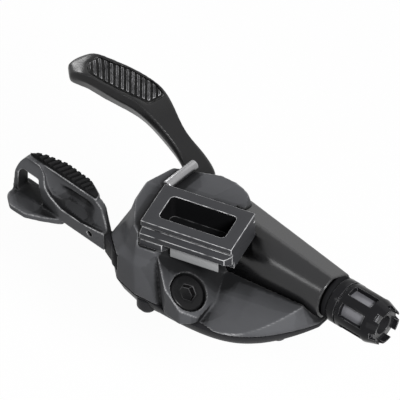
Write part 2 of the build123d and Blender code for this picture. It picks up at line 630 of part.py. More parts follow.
with BuildPart() as barrel_adjuster:
    with BuildSketch(BARREL_SECTION):
        with BuildLine():
            Polyline(
                (SLEEVE_RADIUS, 0),
                (BARREL_RADIUS, 0),
                (BARREL_RADIUS, COLLAR_LENGTH),
                (BARREL_RADIUS - COLLAR_GROOVE, COLLAR_LENGTH),
                (BARREL_RADIUS - COLLAR_GROOVE, COLLAR_LENGTH + COLLAR_GROOVE),
                (BARREL_RADIUS, COLLAR_LENGTH + COLLAR_GROOVE),
                (BARREL_RADIUS, CROWN_START),
                (CROWN_END_RADIUS, BARREL_LENGTH),
                (SLEEVE_RADIUS, BARREL_LENGTH),
                close=True,
            )
        make_face()
    revolve(axis=BARREL_AXIS)
    with BuildSketch(BARREL_PLANE.offset(WINDOW_START)):
        with PolarLocations(BARREL_RADIUS, WINDOW_COUNT):
            Rectangle(4 * BARREL_WALL, WINDOW_WIDTH)
    extrude(amount=WINDOW_END - WINDOW_START, mode=Mode.SUBTRACT)
    with BuildSketch(BARREL_PLANE.offset(BARREL_LENGTH)):
        with PolarLocations(BARREL_RADIUS, WINDOW_COUNT, start_angle=180 / WINDOW_COUNT):
            Rectangle(4 * BARREL_WALL, NOTCH_WIDTH)
    extrude(amount=-NOTCH_DEPTH, mode=Mode.SUBTRACT)
barrel_adjuster.part.label = "barrel_adjuster"
export_step(barrel_adjuster.part, "parts/barrel_adjuster.step")

# Inner sleeve of the adjuster with the outer casing's seat and the stem
SLEEVE_RECESS = 1.2
SLEEVE_END = BARREL_LENGTH - SLEEVE_RECESS

with BuildPart() as adjuster_sleeve:
    with BuildSketch(BARREL_PLANE.offset(SPRING_POCKET)):
        Circle(SLEEVE_RADIUS)
    extrude(amount=SLEEVE_END - SPRING_POCKET)
    with BuildSketch(BARREL_PLANE.offset(SPRING_POCKET)):
        Circle(STEM_RADIUS)
    extrude(amount=STEM_END_GAP - STEM_LENGTH - BARREL_GAP - GASKET_LENGTH - SPRING_POCKET)
    with BuildSketch(BARREL_PLANE.offset(SLEEVE_END)):
        Circle(HOUSING_SEAT_RADIUS)
    extrude(amount=-HOUSING_SEAT_DEPTH, mode=Mode.SUBTRACT)
    with BuildSketch(BARREL_PLANE.offset(SLEEVE_END)):
        Circle(CABLE_HOLE_RADIUS)
    extrude(amount=-2 * BARREL_LENGTH - STEM_LENGTH, mode=Mode.SUBTRACT)
adjuster_sleeve.part.label = "adjuster_sleeve"
export_step(adjuster_sleeve.part, "parts/adjuster_sleeve.step")

# Main lever: hub plate, then an arm through level stations (x, y, z, width, thickness) out to the thumb pad
LEVER_STATIONS = [
    (-8.8, 22.8, -11.4, 6.4, 2.9),
    (-14.6, 26.8, -9.4, 6.8, 3.8),
    (-19.5, 28.8, -6.6, 6.0, 4.4),
    (-22.8, 30.2, -4.4, 7.0, 5.0),
    (-26.4, 32.0, -2.4, 9.0, 5.4),
    (-32.3, 34.0, -1.1, 10.6, 6.0),
    (-38.5, 34.6, -0.1, 10.8, 6.0),
    (-43.7, 34.4, 0.8, 10.0, 5.8),
    (-47.4, 33.3, 1.4, 8.9, 5.0),
    (-49.5, 32.2, 1.6, 6.8, 4.2),
    (-50.5, 31.6, 1.5, 4.4, 3.0),
]
ARM_CROWN = 0.84
ARM_SHOULDER = 0.25
ARM_FOOT = 0.72
HUB_ARM = [(-12.6, 6), (-13.2, 20), (-13.6, 24.4), (-9.6, 26.2), (-5.6, 23.8), (-2.4, 19), (-1.4, 6)]
HUB_ARM_RADIUS = 1.2
PAD_CENTRE = (-37.0, 34.0, 2.75)
PAD_TILT = 8.6
PAD_OUTLINE = [
    (-9.7, 0.2), (-7.7, 3.6), (-0.3, 4.6), (7.5, 3.6), (11.5, 1.4), (9.1, -3.4), (0.6, -3.4), (-7.7, -3.0),
]
PAD_CORNER_RADIUS = 1.4
PAD_PLANE = Plane(
    origin=PAD_CENTRE,
    x_dir=(cos(radians(PAD_TILT)), 0, -sin(radians(PAD_TILT))),
    z_dir=(sin(radians(PAD_TILT)), 0, cos(radians(PAD_TILT))),
)


def heading(stations, index):
    """Direction of travel at a station, from its neighbours."""
    before = stations[max(index - 1, 0)]
    after = stations[min(index + 1, len(stations) - 1)]
    return Vector(after[0] - before[0], after[1] - before[1], after[2] - before[2])


def arm_section(stations, index):
    """Six-sided cross-section of the arm at a station: flat top, sloping shoulders, narrower foot."""
    x, y, z, width, thickness = stations[index]
    along = heading(stations, index)
    across = Vector(-along.Y, along.X, 0)
    half = width / 2
    rise = thickness / 2
    with BuildSketch(Plane(origin=(x, y, z), x_dir=across, z_dir=along)) as section:
        with BuildLine():
            Polyline(
                (-half * ARM_CROWN, rise),
                (half * ARM_CROWN, rise),
                (half, rise * ARM_SHOULDER),
                (half * ARM_FOOT, -rise),
                (-half * ARM_FOOT, -rise),
                (-half, rise * ARM_SHOULDER),
                close=True,
            )
        make_face()
    return section.sketch


def pad_section(inset, depth):
    """Outline of the pad on its plane, moved inwards and down."""
    with BuildSketch(PAD_PLANE.offset(-depth)) as section:
        with BuildLine():
            Polyline(*PAD_OUTLINE, close=True)
        make_face()
        fillet(section.vertices(), radius=PAD_CORNER_RADIUS)
        if inset:
            offset(amount=-inset, mode=Mode.REPLACE)
    return section.sketch


with BuildPart() as main_lever:
    loft(sections=[arm_section(LEVER_STATIONS, index) for index in range(len(LEVER_STATIONS))])
    split(bisect_by=PAD_PLANE, keep=Keep.BOTTOM)
    with BuildSketch(PIVOT_PLANE.offset(HUB_BOTTOM_Z)):
        Circle(HUB_RADIUS)
    extrude(amount=HUB_TOP_Z - HUB_BOTTOM_Z)
    extrude(rounded_section(HUB_ARM, HUB_BOTTOM_Z, HUB_ARM_RADIUS), amount=HUB_TOP_Z - HUB_BOTTOM_Z)
    with BuildSketch(PIVOT_PLANE.offset(HUB_BOTTOM_Z)):
        Circle(AXLE_RADIUS + RUNNING_GAP + BUSH_WALL)
    extrude(amount=HUB_TOP_Z - HUB_BOTTOM_Z, mode=Mode.SUBTRACT)
    extrude(pad_section(0, 0), amount=-PAD_DEPTH, mode=Mode.SUBTRACT)
main_lever.part.label = "main_lever"
export_step(main_lever.part, "parts/main_lever.step")

with BuildPart() as main_lever_bush:
    with BuildSketch(PIVOT_PLANE.offset(HUB_BOTTOM_Z)):
        Circle(AXLE_RADIUS + RUNNING_GAP + BUSH_WALL)
        Circle(AXLE_RADIUS + RUNNING_GAP, mode=Mode.SUBTRACT)
    extrude(amount=HUB_TOP_Z - HUB_BOTTOM_Z)
main_lever_bush.part.label = "main_lever_bush"
export_step(main_lever_bush.part, "parts/main_lever_bush.step")

# Ribbed rubber pad: a thin base with ribs standing in the recess
PAD_GROOVE = 0.5
PAD_BASE = 0.4
PAD_RIB_WIDTH = 0.7
PAD_RIB_COUNT = 17
PAD_RIB_LENGTH = 2 * max(along for along, across in PAD_OUTLINE)
RIB_DIRECTION = 25.0

with BuildPart() as main_lever_pad:
    with BuildSketch(PAD_PLANE) as rib_field:
        with Locations(Location((0, 0), RIB_DIRECTION)):
            with GridLocations(PAD_RIB_PITCH, 0, PAD_RIB_COUNT, 1):
                Rectangle(PAD_RIB_WIDTH, PAD_RIB_LENGTH)
        add(PAD_PLANE.to_local_coords(pad_section(PAD_GROOVE, 0)), mode=Mode.INTERSECT)
    extrude(amount=-PAD_DEPTH)
    extrude(pad_section(0, PAD_DEPTH), amount=PAD_BASE)
main_lever_pad.part.label = "main_lever_pad"
export_step(main_lever_pad.part, "parts/main_lever_pad.step")

# Winding pawl: a block hung from the hub beside the ratchet's rim
WIND_PAWL_ANGLE = 120.0
WIND_PAWL_REACH = 8.7
WIND_PAWL_SIZE = (1.8, 3.2)
WIND_PAWL_BOTTOM_Z = -16.6
WIND_EAR_TOP_Z = HUB_BOTTOM_Z
WIND_EAR_REACH = 2.4
WIND_EAR_THICKNESS = 1.0

with BuildPart() as wind_pawl:
    with BuildSketch(PIVOT_PLANE.offset(WIND_PAWL_BOTTOM_Z)):
        with PolarLocations(WIND_PAWL_REACH, 1, start_angle=WIND_PAWL_ANGLE):
            Rectangle(*WIND_PAWL_SIZE)
    extrude(amount=WIND_EAR_TOP_Z - WIND_PAWL_BOTTOM_Z)
    with BuildSketch(PIVOT_PLANE.offset(WIND_EAR_TOP_Z)):
        with PolarLocations(WIND_PAWL_REACH - WIND_EAR_REACH / 2, 1, start_angle=WIND_PAWL_ANGLE):
            Rectangle(WIND_PAWL_SIZE[0] + WIND_EAR_REACH, WIND_PAWL_SIZE[1])
    extrude(amount=-WIND_EAR_THICKNESS)
wind_pawl.part.label = "wind_pawl"
export_step(wind_pawl.part, "parts/wind_pawl.step")

# Release lever: arm, crest, scooped top, windowed tip and paddle, drawn along the arm (distance, height)
ARM_START = 5.8
RELEASE_PROFILE = [
    (ARM_START, -19.0), (20, -18.9), (23, -19.9), (37.4, -19.9), (38.2, -18.4), (37.2, -9.6), (35.4, -7.9),
    (14.4, -7.9), (11.6, -8.8), (8.8, -11.4), (ARM_START, -13.7),
]
PROFILE_RADIUS = 0.7
ARM_FRONT = 0.8
ARM_BACK = -4.8
CREST_FRONT = -2.9
SCOOP_FRONT = [
    (4.0, -12.6), (8, -13.6), (14.2, -14.6), (21.2, -14.6), (25, -12.8), (28.6, -9.2), (32, -7.6),
    (32, -4), (4, -4),
]
SCOOP_MIDDLE = [
    (4.0, -12.6), (8, -13.9), (14.2, -15.2), (21.2, -15.0), (25, -13.0), (28.6, -9.3), (32, -7.6),
    (32, -4), (4, -4),
]
SCOOP_BACK = [
    (4.0, -11.0), (8, -10.4), (14.2, -9.6), (21.2, -9.2), (25, -8.6), (28.6, -8.1), (32, -7.6),
    (32, -4), (4, -4),
]
SCOOP_SETBACK = 1.3
ARM_TAPER_LENGTH = 4.6
ARM_TAPER_WIDTH = 2.8
WINDOW_PROFILE = [(29.4, -10.6), (35.9, -10.6), (36.4, -18.2), (27.2, -18.2)]
LOOP_START = 25.6
LOOP_END = max(along for along, height in RELEASE_PROFILE) + PROFILE_RADIUS
LOOP_BACK = -3.0
WINDOW_RADIUS = 0.9
PADDLE_OUTLINE = [
    (20.5, 0.2), (25, 3.4), (29.5, 5.6), (34.5, 5.8), (38, 3.2), (38.2, -1), (35, -3.6), (22, -3.6),
]
PADDLE_BOTTOM_Z = -20.4
PADDLE_TOP_Z = -18.4
PADDLE_RADIUS = 1.6
WINDOW_FRONT = max(front for along, front in PADDLE_OUTLINE)
WINDOW_DEPTH = 2 * WINDOW_FRONT
CREST_OUTLINE = [(12, -2.9), (13, -5.2), (17.5, -7.2), (26, -7.4), (32.5, -5.8), (36.4, -3.6), (36, -2.9)]
CREST_RADIUS = 0.5
CREST_TOP_Z = -7.9
CREST_BOTTOM_Z = -10.6
ARM_PIN_HOLE = (11.0, -16.4)
ARM_PIN_RADIUS = 0.75
ARM_PIN_DEPTH = 2.5


def side_face(points, front, radius):
    """Face in the arm's side plane, at a distance in front of its axle."""
    with BuildSketch(RELEASE_SIDE.offset(-front)) as face:
        with BuildLine():
            Polyline(*points, close=True)
        make_face()
        if radius:
            fillet(face.vertices(), radius=radius)
    return face.sketch


def crest_face(inset, height):
    """Level outline of the crest that the thumb pushes."""
    with BuildSketch(RELEASE_TOP.offset(height)) as face:
        with BuildLine():
            Polyline(*CREST_OUTLINE, close=True)
        make_face()
        fillet(face.vertices(), radius=CREST_RADIUS)
        if inset:
            offset(amount=-inset, mode=Mode.REPLACE)
    return face.sketch


with BuildPart() as release_lever:
    extrude(side_face(RELEASE_PROFILE, ARM_FRONT, PROFILE_RADIUS), amount=ARM_FRONT - ARM_BACK)
    loft(
        sections=[
            side_face(SCOOP_FRONT, ARM_FRONT, 0),
            side_face(SCOOP_MIDDLE, ARM_FRONT - SCOOP_SETBACK, 0),
            side_face(SCOOP_BACK, CREST_FRONT, 0),
        ],
        ruled=True,
        mode=Mode.SUBTRACT,
    )
    with BuildSketch(RELEASE_TOP.offset(PADDLE_BOTTOM_Z)):
        with BuildLine():
            Polyline(
                (ARM_START, ARM_BACK),
                (ARM_START + ARM_TAPER_LENGTH, ARM_BACK),
                (ARM_START, ARM_BACK + ARM_TAPER_WIDTH),
                close=True,
            )
        make_face()
    extrude(amount=CREST_TOP_Z - PADDLE_BOTTOM_Z, mode=Mode.SUBTRACT)
    with BuildSketch(RELEASE_TOP.offset(PADDLE_TOP_Z)):
        with Locations(((LOOP_START + LOOP_END) / 2, LOOP_BACK)):
            Rectangle(LOOP_END - LOOP_START, LOOP_BACK - ARM_BACK, align=(Align.CENTER, Align.MAX))
    extrude(amount=CREST_BOTTOM_Z - PADDLE_TOP_Z, mode=Mode.SUBTRACT)
    with BuildSketch(RELEASE_TOP.offset(PADDLE_BOTTOM_Z)) as paddle_face:
        with BuildLine():
            Polyline(*PADDLE_OUTLINE, close=True)
        make_face()
        fillet(paddle_face.vertices(), radius=PADDLE_RADIUS)
    extrude(amount=PADDLE_TOP_Z - PADDLE_BOTTOM_Z)
    extrude(crest_face(0, CREST_BOTTOM_Z), amount=CREST_TOP_Z - CREST_BOTTOM_Z)
    extrude(side_face(WINDOW_PROFILE, WINDOW_FRONT, WINDOW_RADIUS), amount=WINDOW_DEPTH, mode=Mode.SUBTRACT)
    with BuildSketch(RELEASE_SIDE.offset(-ARM_FRONT)):
        with Locations(ARM_PIN_HOLE):
            Circle(ARM_PIN_RADIUS)
    extrude(amount=ARM_PIN_DEPTH, mode=Mode.SUBTRACT)
release_lever.part.label = "release_lever"
export_step(release_lever.part, "parts/release_lever.step")

# Ribbed rubber strip along the crest's top
GRIP_START = 15.6
GRIP_COUNT = 12
GRIP_LINE = (min(front for along, front in CREST_OUTLINE) + CREST_FRONT) / 2
GRIP_INSET = 0.5
GRIP_HEIGHT = 0.4
GRIP_RIDGE = 0.8
GRIP_RISE = 0.5
RIDGE_SLANT = 72.0
RIDGE_LENGTH = 14.0
GRIP_PLANE = RELEASE_TOP.offset(CREST_TOP_Z)

with BuildPart() as release_lever_grip:
    with BuildSketch(GRIP_PLANE):
        with Locations(*[(GRIP_START + ridge * RIDGE_PITCH, GRIP_LINE) for ridge in range(GRIP_COUNT)]):
            Rectangle(RIDGE_LENGTH, GRIP_RIDGE, rotation=RIDGE_SLANT)
        add(GRIP_PLANE.to_local_coords(crest_face(GRIP_INSET, CREST_TOP_Z)), mode=Mode.INTERSECT)
    extrude(amount=GRIP_HEIGHT + GRIP_RISE)
    extrude(crest_face(GRIP_INSET, CREST_TOP_Z), amount=GRIP_HEIGHT)
release_lever_grip.part.label = "release_lever_grip"
export_step(release_lever_grip.part, "parts/release_lever_grip.step")

# Black hub that holds the arm on its axle
HUB_STEP = 0.2
HUB_BLOCK = [(0, -2.8), (ARM_START, ARM_BACK + ARM_TAPER_WIDTH), (ARM_START, ARM_FRONT - HUB_STEP), (0, 2.7)]
COIL_POCKET_RADIUS = 2.3
COIL_POCKET_Z = -15.4

with BuildPart() as release_hub:
    with BuildSketch(RELEASE_TOP.offset(RELEASE_BOTTOM_Z)):
        Circle(RELEASE_HUB_RADIUS)
        with BuildLine():
            Polyline(*HUB_BLOCK, close=True)
        make_face()
        Circle(RELEASE_AXLE_RADIUS + RUNNING_GAP, mode=Mode.SUBTRACT)
    extrude(amount=RELEASE_TOP_Z - RELEASE_BOTTOM_Z)
    with BuildSketch(RELEASE_TOP.offset(COIL_POCKET_Z)):
        Circle(COIL_POCKET_RADIUS)
    extrude(amount=RELEASE_TOP_Z - COIL_POCKET_Z, mode=Mode.SUBTRACT)
release_hub.part.label = "release_hub"
export_step(release_hub.part, "parts/release_hub.step")

with BuildPart() as release_axle:
    with BuildSketch(RELEASE_TOP.offset(RELEASE_AXLE_BOTTOM_Z)):
        Circle(RELEASE_AXLE_RADIUS)
    extrude(amount=RELEASE_AXLE_TOP_Z - RELEASE_AXLE_BOTTOM_Z)
release_axle.part.label = "release_axle"
export_step(release_axle.part, "parts/release_axle.step")

RELEASE_COIL_WIRE = 0.16
RELEASE_COIL_RADIUS = RELEASE_AXLE_RADIUS + RELEASE_COIL_WIRE + 0.02
RELEASE_COIL_PITCH = 0.6
RELEASE_COIL_TURNS = 2
RELEASE_COIL_PLANE = RELEASE_TOP.offset(COIL_POCKET_Z + 2 * RELEASE_COIL_WIRE)

with BuildPart() as release_return_spring:
    add(
        coil(
            RELEASE_COIL_PLANE,
            RELEASE_COIL_RADIUS,
            RELEASE_COIL_WIRE,
            RELEASE_COIL_PITCH,
            RELEASE_COIL_TURNS,
        )
    )
release_return_spring.part.label = "release_return_spring"
export_step(release_return_spring.part, "parts/release_return_spring.step")

# Detent spring in the foot of the barrel adjuster
ADJUSTER_COIL_WIRE = 0.3
ADJUSTER_COIL_RADIUS = (STEM_RADIUS + SLEEVE_RADIUS) / 2
ADJUSTER_COIL_PITCH = 0.8
ADJUSTER_COIL_TURNS = 1.75
ADJUSTER_COIL_START = 0.4
ADJUSTER_COIL_PLANE = BARREL_PLANE.offset(ADJUSTER_COIL_START)

with BuildPart() as adjuster_spring:
    add(
        coil(
            ADJUSTER_COIL_PLANE,
            ADJUSTER_COIL_RADIUS,
            ADJUSTER_COIL_WIRE,
            ADJUSTER_COIL_PITCH,
            ADJUSTER_COIL_TURNS,
        )
    )
adjuster_spring.part.label = "adjuster_spring"
export_step(adjuster_spring.part, "parts/adjuster_spring.step")
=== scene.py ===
"""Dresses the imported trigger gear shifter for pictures: edges, finishes, floor, light and camera."""

import json
import math
from typing import NamedTuple

import bpy
import numpy as np
from bpy.props import FloatProperty, FloatVectorProperty, IntProperty, PointerProperty
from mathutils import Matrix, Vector
from mathutils.bvhtree import BVHTree

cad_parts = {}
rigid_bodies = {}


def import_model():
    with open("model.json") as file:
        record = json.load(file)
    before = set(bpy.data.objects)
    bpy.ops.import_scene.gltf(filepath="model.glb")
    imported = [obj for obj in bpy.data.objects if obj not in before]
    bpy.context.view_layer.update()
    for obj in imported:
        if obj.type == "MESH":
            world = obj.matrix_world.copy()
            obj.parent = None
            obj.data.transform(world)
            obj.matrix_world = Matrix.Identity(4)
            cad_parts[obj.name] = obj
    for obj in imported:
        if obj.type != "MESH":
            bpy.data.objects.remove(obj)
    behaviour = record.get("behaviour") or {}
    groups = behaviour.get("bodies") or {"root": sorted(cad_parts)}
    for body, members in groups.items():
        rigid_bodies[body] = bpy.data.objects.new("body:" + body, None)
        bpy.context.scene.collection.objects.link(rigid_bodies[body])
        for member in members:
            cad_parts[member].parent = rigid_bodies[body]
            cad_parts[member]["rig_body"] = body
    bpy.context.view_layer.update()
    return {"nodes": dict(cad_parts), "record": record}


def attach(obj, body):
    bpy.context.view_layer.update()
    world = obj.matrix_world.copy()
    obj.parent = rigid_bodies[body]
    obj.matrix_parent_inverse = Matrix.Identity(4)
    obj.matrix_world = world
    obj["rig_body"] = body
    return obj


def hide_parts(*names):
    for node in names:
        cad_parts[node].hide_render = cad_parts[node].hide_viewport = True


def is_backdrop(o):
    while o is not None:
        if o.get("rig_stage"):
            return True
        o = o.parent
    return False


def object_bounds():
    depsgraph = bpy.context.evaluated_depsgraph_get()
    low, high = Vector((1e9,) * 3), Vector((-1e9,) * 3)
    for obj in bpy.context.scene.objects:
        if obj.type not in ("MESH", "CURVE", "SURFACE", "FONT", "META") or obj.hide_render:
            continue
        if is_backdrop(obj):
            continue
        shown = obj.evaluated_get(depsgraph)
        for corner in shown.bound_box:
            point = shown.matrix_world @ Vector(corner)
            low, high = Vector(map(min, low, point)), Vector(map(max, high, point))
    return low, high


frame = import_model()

bl_info = {
    "name": "Trigger gear shifter",
    "version": (1, 0, 0),
    "blender": (4, 5, 0),
    "location": "View3D > Sidebar > Shifter",
    "description": "Dresses the packed gear shifter and sets its stage",
    "category": "Object",
}

MM = 0.001

# How copies of the nodes are merged, rounded and smoothed.
MERGE_DISTANCE = 0.002 * MM
FLAT_ANGLE = math.radians(0.4)
SHARP_ANGLE = math.radians(24)
SMOOTH_ANGLE = math.radians(42)
SMOOTH_FACTOR = 0.5

# Fall towards the neighbours at which a point starts to take the rubbed colour that also paints highlights,
# and how much more takes it fully.
RIDGE_START = 0.06
RIDGE_SPAN = 0.12
SHORTEST_STEP = 1e-9

# Short rays that feel for other surfaces around a point, to find where shade is painted into hollows.
UP = Vector((0, 0, 1))
FEELERS = 16
FEELER_START = 0.12 * MM
FEELER_REACH = 16 * MM
GOLDEN_HALF_TURNS = 3 - math.sqrt(5)


def slot_colour(slot):
    """Base colour that the record gives a material slot."""
    for row in frame["record"]["materials"]:
        if row["slot"] == slot:
            return tuple(row["base_color"][:3])
    raise KeyError(slot)


def plain_colour_property(label, colour, text):
    """Colour setting with a default of its own."""
    return FloatVectorProperty(
        name=label, description=text, subtype="COLOR", size=3, min=0.0, max=1.0, default=colour
    )


def colour_property(label, slot, text, share=1.0):
    """Colour setting whose default is the record's colour for a slot, times a share."""
    return plain_colour_property(label, [share * part for part in slot_colour(slot)], text)


def width_property(label, width, text):
    """Length setting for the width of a rounded edge or of a face, given in millimetres."""
    return FloatProperty(name=label, description=text, unit="LENGTH", min=0.0, default=width * MM)


def cell_property(label, cell, skin):
    """Length setting for the faces that a soft skin is remade from, given in millimetres."""
    return width_property(label, cell, "Size of the faces that the " + skin + " is remade from")


def passes_property(label, passes, text="Smoothing passes"):
    """Setting for how often a soft skin is smoothed."""
    return IntProperty(name=label, description=text, min=1, default=passes)


def length_property(label, length, text):
    """Length setting of the stage, given in millimetres."""
    return FloatProperty(name=label, description=text, unit="LENGTH", default=length * MM)


def angle_property(label, degrees, text):
    """Angle setting of the stage, given in degrees."""
    return FloatProperty(name=label, description=text, subtype="ANGLE", default=math.radians(degrees))


def power_property(label, power, text):
    """Power setting of a light, given in watts."""
    return FloatProperty(name=label, description=text, unit="POWER", default=power)


class ShifterEdges(bpy.types.PropertyGroup):
    """Widths of the rounded edges, and how the soft skins are remade."""

    cover: width_property("Lower cover", 0.35, "Rounded edges of the lower cover")
    bracket: width_property("Bracket", 0.22, "Rounded edges of the rail bracket")
    plate: width_property("Clamp plate", 0.15, "Rounded edges of the clamp plate")
    bolt: width_property("Bolt", 0.12, "Rounded edges of the bolt's head")
    pin: width_property("Pin", 0.25, "Rounded ends of the stop pin")
    adjuster: width_property("Adjuster", 0.16, "Rounded edges of the barrel adjuster")
    gasket: width_property("Gasket", 0.15, "Rounded edges of the gasket")
    grip: width_property("Grip", 0.14, "Rounded ridges of the release lever's grip")
    segments: IntProperty(name="Steps", description="Steps in each rounded edge", min=1, default=3)
    casting_cell: cell_property("Casting cell", 0.32, "casting")
    casting_passes: passes_property("Casting passes", 4)
    release_cell: cell_property("Release cell", 0.25, "release lever")
    release_passes: passes_property("Release passes", 5)
    lever_cell: cell_property("Lever cell", 0.28, "main lever")
    lever_passes: passes_property("Lever passes", 5)
    pad_cell: cell_property("Pad cell", 0.13, "ribbed pad")
    pad_passes: passes_property("Pad passes", 3)
    tip_passes: passes_property("Tip passes", 60, "More smoothing at the tip")
    paddle_passes: passes_property("Paddle passes", 36, "More smoothing at the paddle")
    tunnel_cell: cell_property("Tunnel cell", 0.32, "tunnel")
    tunnel_passes: passes_property("Tunnel passes", 8)


class ShifterColours(bpy.types.PropertyGroup):
    """Colours of the finishes."""

    housing: colour_property("Housing", "housing", "Satin paint of the upper housing", 0.8)
    tunnel: colour_property("Tunnel", "tunnel", "Black plastic of the cable tunnel", 0.5)
    gasket: colour_property("Gasket", "gasket", "Rubber ring behind the adjuster")
    lower_cover: colour_property("Lower cover", "lower_cover", "Matt plastic of the lower cover")
    screws: colour_property("Screws", "screws", "Blackened steel of the cover screws")
    bracket: colour_property("Bracket", "bracket", "Satin paint of the rail bracket", 0.75)
    clamp_plate: colour_property("Clamp plate", "clamp_plate", "Bare aluminium of the clamp plate")
    bolt: colour_property("Bolt", "bolt", "Black oxide of the bracket bolt", 0.6)
    bare_steel: colour_property(
        "Bare steel", "bare_steel", "Ground steel of the pin, plates and axles", 0.5
    )
    pulley: colour_property("Pulley", "pulley", "Moulded plastic of the cable pulley")
    spring_steel: colour_property("Spring steel", "spring_steel", "Drawn wire of the springs")
    adjuster: colour_property("Adjuster", "adjuster", "Gloss plastic of the barrel adjuster", 0.6)
    sleeve: colour_property("Sleeve", "sleeve", "Anodised sleeve inside the adjuster", 3.5)
    main_lever: colour_property("Main lever", "main_lever", "Satin finish of the main lever", 0.25)
    bush: colour_property("Bush", "bush", "Bearing bronze of the lever's bush")
    pad_rubber: colour_property("Pad", "pad_rubber", "Rubber of the ribbed pad", 0.4)
    release_lever: colour_property(
        "Release lever", "release_lever", "Satin finish of the release lever", 0.72
    )
    grip_rubber: colour_property("Grip", "grip_rubber", "Rubber of the release lever's grip", 0.5)
    release_hub: colour_property("Release hub", "release_hub", "Plastic of the release lever's hub")
    # Rubbed edges: partly real rubbed paint, partly painted highlight along edges and rib tops.
    worn: plain_colour_property(
        "Worn and highlit edges", (0.55, 0.55, 0.56), "Colour of paint rubbed thin along edges, also painted there as highlight"
    )
    floor: plain_colour_property("Floor", (0.92, 0.92, 0.92), "Plain pale floor")


class ShifterStage(bpy.types.PropertyGroup):
    """Camera, floor and light."""

    azimuth: angle_property("Azimuth", 25, "Direction that the camera stands in, from the front")
    elevation: angle_property("Elevation", 45, "Height of the camera above the horizon")
    lens: FloatProperty(name="Lens", description="Focal length in millimetres", min=50.0, default=800.0)
    field: length_property("Field", 100, "Width that the picture covers at the object")
    aim_right: length_property("Aim right", 0.5, "Picture's centre, to the right of the origin")
    aim_up: length_property("Aim up", 4.25, "Picture's centre, above the origin")
    floor_drop: length_property("Floor drop", 40, "Distance from the lowest point to the floor")
    floor_size: length_property("Floor size", 6000, "Width of the floor")
    key_power: power_property("Key light", 4.2, "Power of the key light")
    fill_power: power_property("Fill light", 0.35, "Power of the fill light")
    rim_power: power_property("Rim light", 0.5, "Power of the light behind")
    side_power: power_property("Side light", 1.2, "Power of the light on the left")
    streak_power: power_property("Streak light", 0.22, "Power of the small light")
    ambient: FloatProperty(name="Ambient", description="Strength of the soft light all round", default=0.02)


def deselect_all():
    """Leaves object mode with nothing selected."""
    if bpy.context.object and bpy.context.object.mode != "OBJECT":
        bpy.ops.object.mode_set(mode="OBJECT")
    bpy.ops.object.select_all(action="DESELECT")


def pick(piece):
    """Makes a piece the only selected and active one."""
    deselect_all()
    piece.select_set(True)
    bpy.context.view_layer.objects.active = piece


def copy_of(node, name):
    """Separate copy of a node, merged into one skin, with its flat faces whole."""
    pick(frame["nodes"][node])
    bpy.ops.object.duplicate()
    piece = bpy.context.view_layer.objects.active
    bpy.ops.object.parent_clear(type="CLEAR_KEEP_TRANSFORM")
    piece.name = name
    piece.data.name = name
    for key in [key for key in piece.keys() if key.startswith("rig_")]:
        del piece[key]
    piece.data.materials.clear()
    bpy.ops.object.mode_set(mode="EDIT")
    bpy.ops.mesh.select_mode(type="VERT")
    bpy.ops.mesh.select_all(action="SELECT")
    bpy.ops.mesh.customdata_custom_splitnormals_clear()
    bpy.ops.mesh.remove_doubles(threshold=MERGE_DISTANCE)
    bpy.ops.mesh.dissolve_limited(angle_limit=FLAT_ANGLE)
    bpy.ops.object.mode_set(mode="OBJECT")
    return piece


def write_attribute(piece, name, domain, values):
    """Writes one number per point or face, which the finishes read."""
    attribute = piece.data.attributes.new(name, "FLOAT", domain)
    attribute.data.foreach_set("value", values)


def round_edges(piece, width, segments):
    """Rounds the sharp edges and marks the new faces in an attribute that the finishes read."""
    pick(piece)
    # The old faces are in slot 0, and the bevel puts the new ones in slot 1.
    marker = bpy.data.materials.new("edge marker")
    piece.data.materials.append(marker)
    piece.data.materials.append(marker)
    bpy.ops.object.modifier_add(type="BEVEL")
    bevel = piece.modifiers[-1]
    bevel.width = width
    bevel.segments = segments
    bevel.limit_method = "ANGLE"
    bevel.angle_limit = SHARP_ANGLE
    bevel.use_clamp_overlap = True
    bevel.miter_outer = "MITER_ARC"
    bevel.material = 1
    bpy.ops.object.modifier_apply(modifier=bevel.name)
    mesh = piece.data
    marks = [0] * len(mesh.polygons)
    mesh.polygons.foreach_get("material_index", marks)
    write_attribute(piece, "edge", "FACE", [float(mark) for mark in marks])
    mesh.polygons.foreach_set("material_index", [0] * len(marks))
    mesh.materials.clear()
    bpy.data.materials.remove(marker)
    bpy.ops.object.shade_smooth_by_angle(angle=SMOOTH_ANGLE)


def smooth_skin(piece, passes, weight):
    """Smooths the skin; weight says how far a point in millimetres takes part."""
    group = piece.vertex_groups.new(name="soft")
    for vertex in piece.data.vertices:
        group.add([vertex.index], weight(vertex.co / MM), "REPLACE")
    bpy.ops.object.modifier_add(type="SMOOTH")
    smooth = piece.modifiers[-1]
    smooth.factor = SMOOTH_FACTOR
    smooth.iterations = passes
    smooth.vertex_group = group.name
    bpy.ops.object.modifier_apply(modifier=smooth.name)
    piece.vertex_groups.clear()


def everywhere(point):
    """Full weight at every point."""
    return 1.0


def soften(piece, cell, passes, round_passes, round_weight, crisp):
    """Remakes the skin from even faces and smooths it, so that every corner runs soft as in a casting."""
    pick(piece)
    bpy.ops.object.modifier_add(type="REMESH")
    remesh = piece.modifiers[-1]
    remesh.mode = "VOXEL"
    remesh.voxel_size = cell
    bpy.ops.object.modifier_apply(modifier=remesh.name)
    if round_weight:
        smooth_skin(piece, round_passes, round_weight)
    smooth_skin(piece, passes, crisp)
    bpy.ops.object.shade_smooth()


